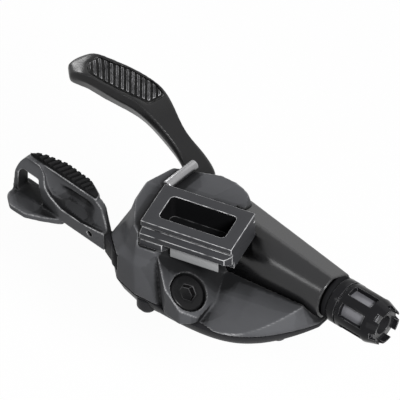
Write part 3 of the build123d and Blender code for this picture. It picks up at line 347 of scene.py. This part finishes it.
def mark_ridges(piece):
    """Writes how far each point stands out from its neighbours, so that finishes can paint the ridges
    rubbed and highlit.
    """
    mesh = piece.data
    count = len(mesh.vertices)
    points = np.empty(3 * count)
    normals = np.empty(3 * count)
    mesh.vertices.foreach_get("co", points)
    mesh.vertices.foreach_get("normal", normals)
    points = points.reshape(-1, 3)
    normals = normals.reshape(-1, 3)
    ends = np.empty(2 * len(mesh.edges), dtype=np.int64)
    mesh.edges.foreach_get("vertices", ends)
    first, second = ends.reshape(-1, 2).T
    step = points[second] - points[first]
    step /= np.maximum(np.linalg.norm(step, axis=1), SHORTEST_STEP)[:, None]
    fall = np.zeros(count)
    near = np.zeros(count)
    np.add.at(fall, first, -np.einsum("ij,ij->i", normals[first], step))
    np.add.at(fall, second, np.einsum("ij,ij->i", normals[second], step))
    np.add.at(near, first, 1)
    np.add.at(near, second, 1)
    ridge = np.clip((fall / np.maximum(near, 1) - RIDGE_START) / RIDGE_SPAN, 0, 1)
    write_attribute(piece, "edge", "POINT", ridge)


def surfaces_around(piece, node):
    """Search tree of the piece's own faces and of every other node's faces at rest."""
    points = []
    faces = []
    for part in [piece] + [part for name, part in frame["nodes"].items() if name != node]:
        start = len(points)
        points.extend(vertex.co.copy() for vertex in part.data.vertices)
        faces.extend([start + corner for corner in face.vertices] for face in part.data.polygons)
    return BVHTree.FromPolygons(points, faces)


def feeler_directions():
    """Spread of directions over a half ball, denser towards its top."""
    spread = []
    for step in range(FEELERS):
        share = (step + 0.5) / FEELERS
        turn = step * math.pi * GOLDEN_HALF_TURNS
        reach = math.sqrt(share)
        spread.append(Vector((reach * math.cos(turn), reach * math.sin(turn), math.sqrt(1 - share))))
    return spread


def mark_hollow_shade(piece, node):
    """Writes how far each point lies sunk among other surfaces: how many short feelers meet a surface, and
    how near; the finishes paint shade from it.
    """
    surfaces = surfaces_around(piece, node)
    spread = feeler_directions()
    hollows = []
    for vertex in piece.data.vertices:
        start = vertex.co + vertex.normal * FEELER_START
        turn = UP.rotation_difference(vertex.normal)
        met = 0.0
        for direction in spread:
            _, _, _, distance = surfaces.ray_cast(start, turn @ direction, FEELER_REACH)
            if distance is not None:
                met += 1 - distance / FEELER_REACH
        hollows.append(met / FEELERS)
    write_attribute(piece, "hollow", "POINT", hollows)


def move_points(piece, shape):
    """Moves every point of a piece to where shape puts it, in millimetres."""
    for vertex in piece.data.vertices:
        vertex.co = shape(vertex.co / MM) * MM
    piece.data.update()


def cast(
    node, name, slot, cell, passes, round_passes=0, round_weight=None, crisp=everywhere, shape=None
):
    """Soft copy of a node with its finish; parts of it may be rounder, crisper or moved by shape."""
    piece = copy_of(node, name)
    soften(piece, cell, passes, round_passes, round_weight, crisp)
    if shape:
        move_points(piece, shape)
    mark_ridges(piece)
    mark_hollow_shade(piece, node)
    place(piece, node, slot)
    return piece


def paint_recess_shade(piece, inside):
    """Marks the faces whose centre lies in a sunk place, so that the finish paints shade there, nearly
    black.
    """
    marks = [float(inside(face.center / MM)) for face in piece.data.polygons]
    write_attribute(piece, "recess", "FACE", marks)


def place(piece, node, slot):
    """Gives a piece its finish, hides the node that it stands for and lets it ride that node's body."""
    piece.data.materials.append(finish(slot))
    body = frame["nodes"][node]["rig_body"]
    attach(piece, body)
    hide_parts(node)


def dress(node, name, slot, width):
    """Rounded copy of a node with its finish."""
    piece = copy_of(node, name)
    round_edges(piece, width, bpy.context.scene.shifter_edges.segments)
    place(piece, node, slot)
    return piece


def new_group(name, inputs, outputs):
    """Empty shader node group; inputs are a name, a kind and a default, outputs a name and a kind."""
    group = bpy.data.node_groups.new(name, "ShaderNodeTree")
    for label, kind, default in inputs:
        socket = group.interface.new_socket(name=label, in_out="INPUT", socket_type=kind)
        socket.default_value = default
    for label, kind in outputs:
        group.interface.new_socket(name=label, in_out="OUTPUT", socket_type=kind)
    return group, group.nodes.new("NodeGroupInput"), group.nodes.new("NodeGroupOutput")


def feed(tree, socket, value):
    """Sets a socket to a plain number, or links another socket to it."""
    if isinstance(value, (int, float)):
        socket.default_value = value
    else:
        tree.links.new(value, socket)


def math_node(tree, operation, *values):
    """Math node fed by sockets or plain numbers; returns its output."""
    node = tree.nodes.new("ShaderNodeMath")
    node.operation = operation
    for socket, value in zip(node.inputs, values):
        feed(tree, socket, value)
    return node.outputs[0]


def noise_node(tree, scale, detail, vector):
    """Noise texture; the scale is a socket or a number of features per metre."""
    node = tree.nodes.new("ShaderNodeTexNoise")
    node.inputs["Detail"].default_value = detail
    feed(tree, node.inputs["Scale"], scale)
    tree.links.new(vector, node.inputs["Vector"])
    return node.outputs["Fac"]


def attribute_node(tree, name):
    """Number that write_attribute left on the piece, or nought; returns its output."""
    node = tree.nodes.new("ShaderNodeAttribute")
    node.attribute_name = name
    return node.outputs["Fac"]


def dimmed(tree, colour, share):
    """Colour socket times a share; returns its output."""
    node = tree.nodes.new("ShaderNodeVectorMath")
    node.operation = "SCALE"
    tree.links.new(colour, node.inputs[0])
    tree.links.new(share, node.inputs["Scale"])
    return node.outputs[0]


# Places of the colour sockets on a Mix node: two inputs and the output.
MIX_FIRST = 6
MIX_SECOND = 7
MIX_RESULT = 2

WHITE = (1, 1, 1, 1)
MID_GREY = (0.5, 0.5, 0.5, 1)

# Noise of the finishes: features per metre and levels of detail.
GRAIN_DETAIL = 3
BLOTCH_SCALE = 110
BLOTCH_DETAIL = 4
WEAR_HIGHLIGHT_SCALE = 420
WEAR_HIGHLIGHT_DETAIL = 3

# Level of the noise at which rubbed and highlit edges start, and how sharply they set in.
WEAR_HIGHLIGHT_START = 0.3
WEAR_HIGHLIGHT_SHARPNESS = 3.0

# Share of its colour that a finish keeps where shade is painted into hollows and recesses.
PAINTED_SHADE_SHARE = 0.12


def grain_group():
    """Fine grain and broad blotches of a moulded, painted or cast surface."""
    if "surface grain" in bpy.data.node_groups:
        return bpy.data.node_groups["surface grain"]
    color, value = "NodeSocketColor", "NodeSocketFloat"
    group, source, sink = new_group(
        "surface grain",
        [
            ("Colour", color, MID_GREY),
            ("Mottle", value, 0.1),
            ("Roughness", value, 0.5),
            ("Patchiness", value, 0.1),
            ("Grain Scale", value, 5000),
        ],
        [("Colour", color), ("Roughness", value), ("Height", value)],
    )
    place_on_piece = group.nodes.new("ShaderNodeTexCoord").outputs["Object"]
    fine = noise_node(group, source.outputs["Grain Scale"], GRAIN_DETAIL, place_on_piece)
    broad = noise_node(group, BLOTCH_SCALE, BLOTCH_DETAIL, place_on_piece)
    both = math_node(group, "SUBTRACT", math_node(group, "ADD", fine, broad), 1.0)
    tint = math_node(group, "MULTIPLY_ADD", both, source.outputs["Mottle"], 1.0)
    shade = dimmed(group, source.outputs["Colour"], tint)
    rough = math_node(group, "MULTIPLY", both, source.outputs["Patchiness"])
    rough = math_node(group, "ADD", rough, source.outputs["Roughness"])
    group.links.new(shade, sink.inputs["Colour"])
    group.links.new(rough, sink.inputs["Roughness"])
    group.links.new(fine, sink.inputs["Height"])
    return group


def wear_highlight_shade_group():
    """Paint rubbed thin along rounded edges in patches, which also paints their highlights, and painted
    shade in hollows and recesses.
    """
    if "edge wear" in bpy.data.node_groups:
        return bpy.data.node_groups["edge wear"]
    color, value = "NodeSocketColor", "NodeSocketFloat"
    group, source, sink = new_group(
        "edge wear",
        [
            ("Colour", color, MID_GREY),
            ("Worn Colour", color, MID_GREY),
            ("Amount", value, 0.5),
            ("Grime", value, 1.0),
        ],
        [("Colour", color)],
    )
    place_on_piece = group.nodes.new("ShaderNodeTexCoord").outputs["Object"]
    # Rubbed paint along the marked edges, in patches, lighter as real wear and as painted highlight.
    patches = noise_node(group, WEAR_HIGHLIGHT_SCALE, WEAR_HIGHLIGHT_DETAIL, place_on_piece)
    spread = math_node(group, "SUBTRACT", patches, WEAR_HIGHLIGHT_START)
    spread = math_node(group, "MULTIPLY", spread, WEAR_HIGHLIGHT_SHARPNESS)
    spread.node.use_clamp = True
    mask = math_node(group, "MULTIPLY", spread, attribute_node(group, "edge"))
    mask = math_node(group, "MULTIPLY", mask, source.outputs["Amount"])
    blend = group.nodes.new("ShaderNodeMix")
    blend.data_type = "RGBA"
    group.links.new(mask, blend.inputs["Factor"])
    group.links.new(source.outputs["Colour"], blend.inputs[MIX_FIRST])
    group.links.new(source.outputs["Worn Colour"], blend.inputs[MIX_SECOND])
    # Painted shade: the colour is darkened in hollows found by the feelers and in the marked recesses.
    depth = math_node(group, "MULTIPLY", attribute_node(group, "hollow"), source.outputs["Grime"])
    depth = math_node(group, "MAXIMUM", depth, attribute_node(group, "recess"))
    depth.node.use_clamp = True
    kept = math_node(group, "MULTIPLY_ADD", depth, PAINTED_SHADE_SHARE - 1, 1.0)
    deep = dimmed(group, blend.outputs[MIX_RESULT], kept)
    group.links.new(deep, sink.inputs["Colour"])
    return group


class Finish(NamedTuple):
    """Numbers that tell one finish from another."""

    roughness: float
    mottle: float
    patchiness: float
    grain_scale: float
    bump: float
    # Amount of rubbed colour on edges, partly real wear and partly painted highlight.
    wear: float
    specular: float
    metal: float


FINISHES = {
    "housing": Finish(0.44, 0.16, 0.10, 5200, 0.10, 0.80, 0.08, 0.0),
    "tunnel": Finish(0.22, 0.12, 0.08, 4200, 0.03, 0.15, 0.45, 0.0),
    "gasket": Finish(0.70, 0.15, 0.10, 7000, 0.15, 0.00, 0.02, 0.0),
    "lower_cover": Finish(0.46, 0.14, 0.12, 6000, 0.15, 0.10, 0.12, 0.0),
    "screws": Finish(0.35, 0.20, 0.12, 5000, 0.05, 0.30, 0.50, 1.0),
    "bracket": Finish(0.40, 0.14, 0.10, 5200, 0.08, 1.30, 0.10, 0.0),
    "clamp_plate": Finish(0.42, 0.10, 0.12, 3600, 0.08, 0.30, 0.30, 0.0),
    "bolt": Finish(0.24, 0.18, 0.10, 5200, 0.05, 0.12, 0.11, 0.0),
    "bare_steel": Finish(0.36, 0.10, 0.14, 3600, 0.05, 0.20, 0.50, 1.0),
    "pulley": Finish(0.50, 0.12, 0.10, 5200, 0.10, 0.00, 0.30, 0.0),
    "spring_steel": Finish(0.32, 0.14, 0.12, 4200, 0.05, 0.00, 0.50, 1.0),
    "adjuster": Finish(0.16, 0.12, 0.08, 4200, 0.03, 0.60, 0.09, 0.0),
    "sleeve": Finish(0.26, 0.12, 0.10, 4200, 0.04, 0.30, 0.50, 0.0),
    "main_lever": Finish(0.30, 0.14, 0.10, 5200, 0.08, 0.06, 0.28, 0.0),
    "bush": Finish(0.38, 0.14, 0.12, 5200, 0.08, 0.00, 0.50, 1.0),
    "pad_rubber": Finish(0.42, 0.15, 0.12, 6500, 0.15, 1.00, 0.12, 0.0),
    "release_lever": Finish(0.40, 0.14, 0.10, 5200, 0.08, 1.70, 0.10, 0.0),
    "grip_rubber": Finish(0.66, 0.15, 0.12, 6500, 0.15, 0.05, 0.10, 0.0),
    "release_hub": Finish(0.45, 0.12, 0.10, 5200, 0.10, 0.05, 0.03, 0.0),
}
BUMP_DEPTH = 0.05 * MM

# How fast painted shade darkens a finish with the depth of hollows, and how much paler the pad's rubbed
# ribs are as painted highlight.
HOLLOW_SHADE_GAIN = 4.8
PAD_HIGHLIGHT_SHARE = 1.5


def finish(slot):
    """Procedural material of a record slot: grain and blotches first, then worn edges and dark hollows."""
    name = slot + " finish"
    if name in bpy.data.materials:
        return bpy.data.materials[name]
    colours = bpy.context.scene.shifter_colours
    look = FINISHES[slot]
    material = bpy.data.materials.new(name)
    material.use_nodes = True
    tree = material.node_tree
    shader = tree.nodes["Principled BSDF"]
    shader.inputs["Specular IOR Level"].default_value = look.specular
    shader.inputs["Metallic"].default_value = look.metal
    grain = tree.nodes.new("ShaderNodeGroup")
    grain.node_tree = grain_group()
    grain.inputs["Colour"].default_value = (*getattr(colours, slot), 1)
    grain.inputs["Mottle"].default_value = look.mottle
    grain.inputs["Roughness"].default_value = look.roughness
    grain.inputs["Patchiness"].default_value = look.patchiness
    grain.inputs["Grain Scale"].default_value = look.grain_scale
    worn = tree.nodes.new("ShaderNodeGroup")
    worn.node_tree = wear_highlight_shade_group()
    # The pad's rib edges take an even paler rubbed colour as painted highlight.
    brightness = PAD_HIGHLIGHT_SHARE if slot == "pad_rubber" else 1.0
    worn.inputs["Worn Colour"].default_value = (*[brightness * part for part in colours.worn], 1)
    worn.inputs["Amount"].default_value = look.wear
    worn.inputs["Grime"].default_value = HOLLOW_SHADE_GAIN
    bumps = tree.nodes.new("ShaderNodeBump")
    bumps.inputs["Strength"].default_value = look.bump
    bumps.inputs["Distance"].default_value = BUMP_DEPTH
    tree.links.new(grain.outputs["Colour"], worn.inputs["Colour"])
    tree.links.new(worn.outputs["Colour"], shader.inputs["Base Color"])
    tree.links.new(grain.outputs["Roughness"], shader.inputs["Roughness"])
    tree.links.new(grain.outputs["Height"], bumps.inputs["Height"])
    tree.links.new(bumps.outputs["Normal"], shader.inputs["Normal"])
    return material


# Places on the pieces from here on are in millimetres: first the rail's slot and the ribbed pad.
RAIL_SLOT_HALF = (9.3, 4.3)
RAIL_SLOT_LIP_Z = -0.4
PAD_TOP = Vector((-37.0, 34.0, 2.75))
PAD_TILT = math.radians(8.6)
PAD_UP = Vector((math.sin(PAD_TILT), 0, math.cos(PAD_TILT)))
RIB_SIDE_DEPTH = 0.30


def in_rail_slot(point):
    """True in the slot of the rail's face; the point is in millimetres."""
    across = abs(point.x) < RAIL_SLOT_HALF[0] and abs(point.y) < RAIL_SLOT_HALF[1]
    return across and point.z < RAIL_SLOT_LIP_Z


def between_ribs(point):
    """True below the tops of the pad's ribs; the point is in millimetres."""
    return (point - PAD_TOP).dot(PAD_UP) < -RIB_SIDE_DEPTH


# The barrel adjuster's axis, and its liner.
CABLE_START = Vector((36.0, 3.55, -15.9))
CABLE_AXIS = Vector((0.965473, -0.260505, 0))
LINER_RADIUS = 4.5
LINER_SKIN = 0.25
LINER_END = 13.6


def in_cable_bore(point):
    """True inside the adjuster's liner and on its open end; the point is in millimetres."""
    offset = point - CABLE_START
    along = offset.dot(CABLE_AXIS)
    return (offset - CABLE_AXIS * along).length < LINER_RADIUS - LINER_SKIN or along > LINER_END


# The release lever's own directions, and how its loop leans.
RELEASE_AXLE = Vector((-18.5, -5.0, 0.0))
RELEASE_TURN = math.radians(161.3)
RELEASE_ALONG = Vector((math.cos(RELEASE_TURN), math.sin(RELEASE_TURN), 0))
RELEASE_FRONT = Vector((-math.sin(RELEASE_TURN), math.cos(RELEASE_TURN), 0))
LOOP_LEAN = 0.72
LOOP_LEAN_FOOT_Z = -12.0
LOOP_LEAN_TOP_Z = -7.9
LOOP_LEAN_START = 22.0
LOOP_LEAN_FULL = 31.0
CREST_FRONT = -2.9
ARM_FRONT = 0.8


def ease(value, low, high):
    """Smooth step from nought at low to one at high."""
    share = min(max((value - low) / (high - low), 0.0), 1.0)
    return share * share * (3 - 2 * share)


def release_place(point):
    """Distance along the release lever and in front of its axle; the point is in millimetres."""
    offset = point - RELEASE_AXLE
    return offset.dot(RELEASE_ALONG), offset.dot(RELEASE_FRONT)


def lean_loop(point):
    """Leans the front of the release lever's loop back towards its crest; the point is in millimetres."""
    along, front = release_place(point)
    if front < CREST_FRONT or along < LOOP_LEAN_START:
        return point
    lean = LOOP_LEAN * ease(along, LOOP_LEAN_START, LOOP_LEAN_FULL)
    lean *= ease(point.z, LOOP_LEAN_FOOT_Z, LOOP_LEAN_TOP_Z)
    return point - RELEASE_FRONT * lean * (front - CREST_FRONT)


# Depth of the scoop in the release lever's arm; each row gives where it starts, is full, fades and ends.
SCOOP_SINK = 1.8
SCOOP_ALONG = (11.0, 16.5, 20.5, 25.6)
SCOOP_HEIGHT = (-15.4, -13.5, -11.5, -9.4)
SCOOP_SKIN = (-3.6, -2.4, -0.6, 0.2)


def between(value, start, full, fade, end):
    """One from full to fade, easing to nought at start and end."""
    return ease(value, start, full) * (1 - ease(value, fade, end))


def shape_release(point):
    """Hollows the scoop of the release lever's arm and leans its loop; the point is in millimetres."""
    along, front = release_place(point)
    sink = SCOOP_SINK * between(along, *SCOOP_ALONG)
    sink *= between(point.z, *SCOOP_HEIGHT) * between(front, *SCOOP_SKIN)
    return lean_loop(point) - RELEASE_FRONT * sink


# The loop's outer corner, the paddle and the hole in the arm.
LOOP_CORNER_START = 33.0
LOOP_CORNER_FULL = 36.5
LOOP_CORNER_Z = (-13.0, -10.0)
PADDLE_START = 22.0
PADDLE_FULL = 25.0
PADDLE_Z = (-18.8, -17.6)
ARM_PIN_HOLE = (11.0, -16.4)
ARM_PIN_RADIUS = 0.75
PIN_HOLE_RIM = 0.6
PIN_HOLE_SINK = 0.15


def round_release(point):
    """How much rounder the loop's outer corner and the paddle are than the rest of the release lever."""
    along, _ = release_place(point)
    corner = ease(along, LOOP_CORNER_START, LOOP_CORNER_FULL) * ease(point.z, *LOOP_CORNER_Z)
    paddle = ease(along, PADDLE_START, PADDLE_FULL) * (1 - ease(point.z, *PADDLE_Z))
    return max(corner, paddle)


def from_pin_hole(point):
    """Distance from the axis of the hole in the release lever's arm."""
    along, _ = release_place(point)
    return math.hypot(along - ARM_PIN_HOLE[0], point.z - ARM_PIN_HOLE[1])


def crisp_pin_hole(point):
    """Keeps the hole in the release lever's arm open while the rest is smoothed."""
    return ease(from_pin_hole(point), ARM_PIN_RADIUS + PIN_HOLE_RIM / 2, ARM_PIN_RADIUS + 2 * PIN_HOLE_RIM)


def in_pin_hole(point):
    """True inside the hole in the release lever's arm; the point is in millimetres."""
    _, front = release_place(point)
    return from_pin_hole(point) < ARM_PIN_RADIUS + PIN_HOLE_SINK and front < ARM_FRONT - PIN_HOLE_SINK


# The main lever's tip: where each change starts and is full, measured along -X or +Y, and the shifts.
TIP_ROUND = (46.0, 48.5)
TIP_STRETCH = (40.0, 48.0)
TIP_BACK = (34.0, 38.0)
TIP_SHIFT = Vector((-1.0, 1.0, 0.0))
TIP_BACK_SHIFT = Vector((-0.6, 0.0, 0.0))
TIP_DROOP = (44.5, 51.0)
TIP_DROOP_SHIFT = Vector((0.0, 0.0, -1.4))


def round_tip(point):
    """How much rounder the tip of the main lever is than the rest of it."""
    return ease(-point.x, *TIP_ROUND)


def stretch_tip(point):
    """Draws the tips of the main lever and its pad out, back and down, so that they end broad and round."""
    shift = TIP_SHIFT + TIP_BACK_SHIFT * ease(point.y, *TIP_BACK)
    return point + shift * ease(-point.x, *TIP_STRETCH) + TIP_DROOP_SHIFT * ease(-point.x, *TIP_DROOP)


class SHIFTER_OT_housing(bpy.types.Operator):
    """Dress the upper housing, the cable tunnel, its gasket and the lower cover"""

    bl_idname = "shifter.housing"
    bl_label = "Housing"

    def execute(self, context):
        edges = context.scene.shifter_edges
        cast("upper_housing", "housing_casting", "housing", edges.casting_cell, edges.casting_passes)
        cast("tunnel_cover", "tunnel_shell", "tunnel", edges.tunnel_cell, edges.tunnel_passes)
        dress("tunnel_gasket", "seal_ring", "gasket", edges.gasket)
        dress("lower_cover", "under_cover", "lower_cover", edges.cover)
        return {"FINISHED"}


class SHIFTER_OT_bracket(bpy.types.Operator):
    """Dress the rail bracket, its clamp plate and bolt, and the stop pin"""

    bl_idname = "shifter.bracket"
    bl_label = "Rail bracket"

    def execute(self, context):
        edges = context.scene.shifter_edges
        block = dress("rail_bracket", "rail_block", "bracket", edges.bracket)
        # The rail's slot is painted nearly black as shade.
        paint_recess_shade(block, in_rail_slot)
        dress("clamp_plate", "clamp_wedge", "clamp_plate", edges.plate)
        dress("bracket_bolt", "button_bolt", "bolt", edges.bolt)
        dress("stop_pin", "stop_peg", "bare_steel", edges.pin)
        return {"FINISHED"}


class SHIFTER_OT_adjuster(bpy.types.Operator):
    """Dress the barrel adjuster and the sleeve inside it"""

    bl_idname = "shifter.adjuster"
    bl_label = "Barrel adjuster"

    def execute(self, context):
        edges = context.scene.shifter_edges
        dress("barrel_adjuster", "adjuster_barrel", "adjuster", edges.adjuster)
        liner = dress("adjuster_sleeve", "adjuster_liner", "sleeve", edges.adjuster)
        # The liner's bore and open end are painted nearly black as shade.
        paint_recess_shade(liner, in_cable_bore)
        return {"FINISHED"}


class SHIFTER_OT_main_lever(bpy.types.Operator):
    """Dress the main lever and its ribbed pad"""

    bl_idname = "shifter.main_lever"
    bl_label = "Main lever"

    def execute(self, context):
        edges = context.scene.shifter_edges
        cast(
            "main_lever", "thumb_lever", "main_lever", edges.lever_cell, edges.lever_passes,
            round_passes=edges.tip_passes, round_weight=round_tip, shape=stretch_tip,
        )
        pad = cast(
            "main_lever_pad", "thumb_pad", "pad_rubber", edges.pad_cell, edges.pad_passes, shape=stretch_tip
        )
        # Shade is painted between the pad's ribs.
        paint_recess_shade(pad, between_ribs)
        return {"FINISHED"}


class SHIFTER_OT_release_lever(bpy.types.Operator):
    """Dress the release lever, its grip strip and its hub"""

    bl_idname = "shifter.release_lever"
    bl_label = "Release lever"

    def execute(self, context):
        edges = context.scene.shifter_edges
        lever = cast(
            "release_lever", "trigger_lever", "release_lever", edges.release_cell, edges.release_passes,
            round_passes=edges.paddle_passes, round_weight=round_release, crisp=crisp_pin_hole,
            shape=shape_release,
        )
        # The hole in the arm is painted nearly black as shade.
        paint_recess_shade(lever, in_pin_hole)
        dress("release_lever_grip", "trigger_grip", "grip_rubber", edges.grip)
        dress("release_hub", "trigger_knuckle", "release_hub", edges.grip)
        return {"FINISHED"}


class SHIFTER_OT_works(bpy.types.Operator):
    """Give every node that still shows its own finish"""

    bl_idname = "shifter.works"
    bl_label = "Inner works"

    def execute(self, context):
        for row in frame["record"]["subparts"]:
            node = frame["nodes"][row["node"]]
            if node.hide_render:
                continue
            node.data.materials.clear()
            node.data.materials.append(finish(row["material_slot"]))
        return {"FINISHED"}


def background_factor(tree):
    """One for rays that see the surroundings straight, in a gloss or through glass; nought for the rest."""
    path = tree.nodes.new("ShaderNodeLightPath")
    factor = math_node(tree, "MAXIMUM", path.outputs["Is Camera Ray"], path.outputs["Is Glossy Ray"])
    return math_node(tree, "MAXIMUM", factor, path.outputs["Is Transmission Ray"])


def set_world(ambient):
    """White surroundings for the eye and for gloss, soft light of a plain level for the rest."""
    world = bpy.data.worlds.new("studio")
    bpy.context.scene.world = world
    world.use_nodes = True
    tree = world.node_tree
    soft = tree.nodes["Background"]
    soft.inputs["Color"].default_value = WHITE
    soft.inputs["Strength"].default_value = ambient
    white = tree.nodes.new("ShaderNodeBackground")
    white.inputs["Color"].default_value = WHITE
    white.inputs["Strength"].default_value = 1.0
    chosen = tree.nodes.new("ShaderNodeMixShader")
    tree.links.new(background_factor(tree), chosen.inputs["Fac"])
    tree.links.new(soft.outputs[0], chosen.inputs[1])
    tree.links.new(white.outputs[0], chosen.inputs[2])
    tree.links.new(chosen.outputs[0], tree.nodes["World Output"].inputs["Surface"])


# Share of the floor that glows white for the eye, and share of its colour that it throws back as light.
FLOOR_GLOW = 0.96
FLOOR_BOUNCE = 0.3
FLOOR_ROUGHNESS = 0.9


def floor_material(colour):
    """Pale matt floor that reads as white and still takes the object's shadow."""
    material = bpy.data.materials.new("pale floor")
    material.use_nodes = True
    tree = material.node_tree
    matt = tree.nodes["Principled BSDF"]
    matt.inputs["Roughness"].default_value = FLOOR_ROUGHNESS
    matt.inputs["Specular IOR Level"].default_value = 0.0
    tone = tree.nodes.new("ShaderNodeMix")
    tone.data_type = "RGBA"
    tone.inputs[MIX_FIRST].default_value = (*[FLOOR_BOUNCE * part for part in colour], 1)
    tone.inputs[MIX_SECOND].default_value = (*colour, 1)
    tree.links.new(background_factor(tree), tone.inputs["Factor"])
    tree.links.new(tone.outputs[MIX_RESULT], matt.inputs["Base Color"])
    glow = tree.nodes.new("ShaderNodeEmission")
    glow.inputs["Strength"].default_value = 1.0
    chosen = tree.nodes.new("ShaderNodeMixShader")
    share = math_node(tree, "MULTIPLY", background_factor(tree), FLOOR_GLOW)
    tree.links.new(share, chosen.inputs["Fac"])
    tree.links.new(matt.outputs[0], chosen.inputs[1])
    tree.links.new(glow.outputs[0], chosen.inputs[2])
    tree.links.new(chosen.outputs[0], tree.nodes["Material Output"].inputs["Surface"])
    return material


# Direction towards each light, and its width in metres; its power is a setting of the stage.
LIGHTS = {
    "key": ((0.60, -0.46, 0.655), 0.18),
    "fill": ((0.1, -0.95, 0.2), 0.30),
    "rim": ((0.2, 0.9, 0.7), 0.40),
    "side": ((-0.74, 0.52, 0.42), 0.12),
    "streak": ((-0.42, -0.62, 0.66), 0.10),
}

# In metres: from the object to each light, and how far the camera sees.
LIGHT_DISTANCE = 0.6
CAMERA_REACH = 100


def area_light(name, direction, width, power):
    """Soft square light that points at the object from a direction."""
    place_at = Vector(direction).normalized() * LIGHT_DISTANCE
    bpy.ops.object.light_add(type="AREA", location=place_at)
    lamp = bpy.context.object
    lamp.name = name
    lamp.data.shape = "SQUARE"
    lamp.data.size = width
    lamp.data.energy = power
    lamp.rotation_mode = "QUATERNION"
    lamp.rotation_quaternion = (-place_at).to_track_quat("-Z", "Y")


class SHIFTER_OT_stage(bpy.types.Operator):
    """Set the floor, the surroundings, the lights and the camera"""

    bl_idname = "shifter.stage"
    bl_label = "Stage"

    def execute(self, context):
        settings = context.scene.shifter_stage
        context.scene.view_settings.view_transform = "Standard"
        deselect_all()
        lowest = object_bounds()[0][2]
        bpy.ops.mesh.primitive_plane_add(size=settings.floor_size, location=(0, 0, 0))
        floor = context.object
        floor.name = "studio_floor"
        floor.location.z = lowest - settings.floor_drop
        floor.data.materials.append(floor_material(context.scene.shifter_colours.floor))
        floor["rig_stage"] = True
        set_world(settings.ambient)
        for name, (direction, width) in LIGHTS.items():
            area_light(name + "_light", direction, width, getattr(settings, name + "_power"))
        self.add_camera(context, settings)
        return {"FINISHED"}

    def add_camera(self, context, settings):
        """Long lens at the photograph's angle, so that the picture covers the field at the object."""
        turn, rise = settings.azimuth, settings.elevation
        back = Vector((math.sin(turn) * math.cos(rise), -math.cos(turn) * math.cos(rise), math.sin(rise)))
        right = Vector((math.cos(turn), math.sin(turn), 0))
        target = right * settings.aim_right + back.cross(right) * settings.aim_up
        bpy.ops.object.camera_add()
        camera = context.object
        camera.name = "photo_camera"
        camera.data.lens = settings.lens
        distance = settings.lens / camera.data.sensor_width * settings.field
        camera.location = target + back * distance
        camera.rotation_mode = "QUATERNION"
        camera.rotation_quaternion = (-back).to_track_quat("-Z", "Y")
        camera.data.clip_end = CAMERA_REACH
        context.scene.camera = camera


class SHIFTER_PT_panel(bpy.types.Panel):
    """Steps that dress the gear shifter, in order"""

    bl_idname = "SHIFTER_PT_panel"
    bl_label = "Gear shifter"
    bl_space_type = "VIEW_3D"
    bl_region_type = "UI"
    bl_category = "Shifter"

    def draw(self, context):
        """One button per step."""
        for step in STEPS:
            self.layout.operator(step.bl_idname)


STEPS = (
    SHIFTER_OT_housing,
    SHIFTER_OT_bracket,
    SHIFTER_OT_adjuster,
    SHIFTER_OT_main_lever,
    SHIFTER_OT_release_lever,
    SHIFTER_OT_works,
    SHIFTER_OT_stage,
)
SETTINGS = {
    "shifter_edges": ShifterEdges,
    "shifter_colours": ShifterColours,
    "shifter_stage": ShifterStage,
}


def register():
    """Adds the settings, the steps and the panel."""
    for name, group in SETTINGS.items():
        bpy.utils.register_class(group)
        setattr(bpy.types.Scene, name, PointerProperty(type=group))
    for step in STEPS:
        bpy.utils.register_class(step)
    bpy.utils.register_class(SHIFTER_PT_panel)


def unregister():
    """Removes the panel, the steps and the settings."""
    bpy.utils.unregister_class(SHIFTER_PT_panel)
    for step in reversed(STEPS):
        bpy.utils.unregister_class(step)
    for name, group in SETTINGS.items():
        delattr(bpy.types.Scene, name)
        bpy.utils.unregister_class(group)


def main():
    """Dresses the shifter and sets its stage."""
    register()
    bpy.ops.shifter.housing()
    bpy.ops.shifter.bracket()
    bpy.ops.shifter.adjuster()
    bpy.ops.shifter.main_lever()
    bpy.ops.shifter.release_lever()
    bpy.ops.shifter.works()
    bpy.ops.shifter.stage()


if __name__ == "__main__":
    main()
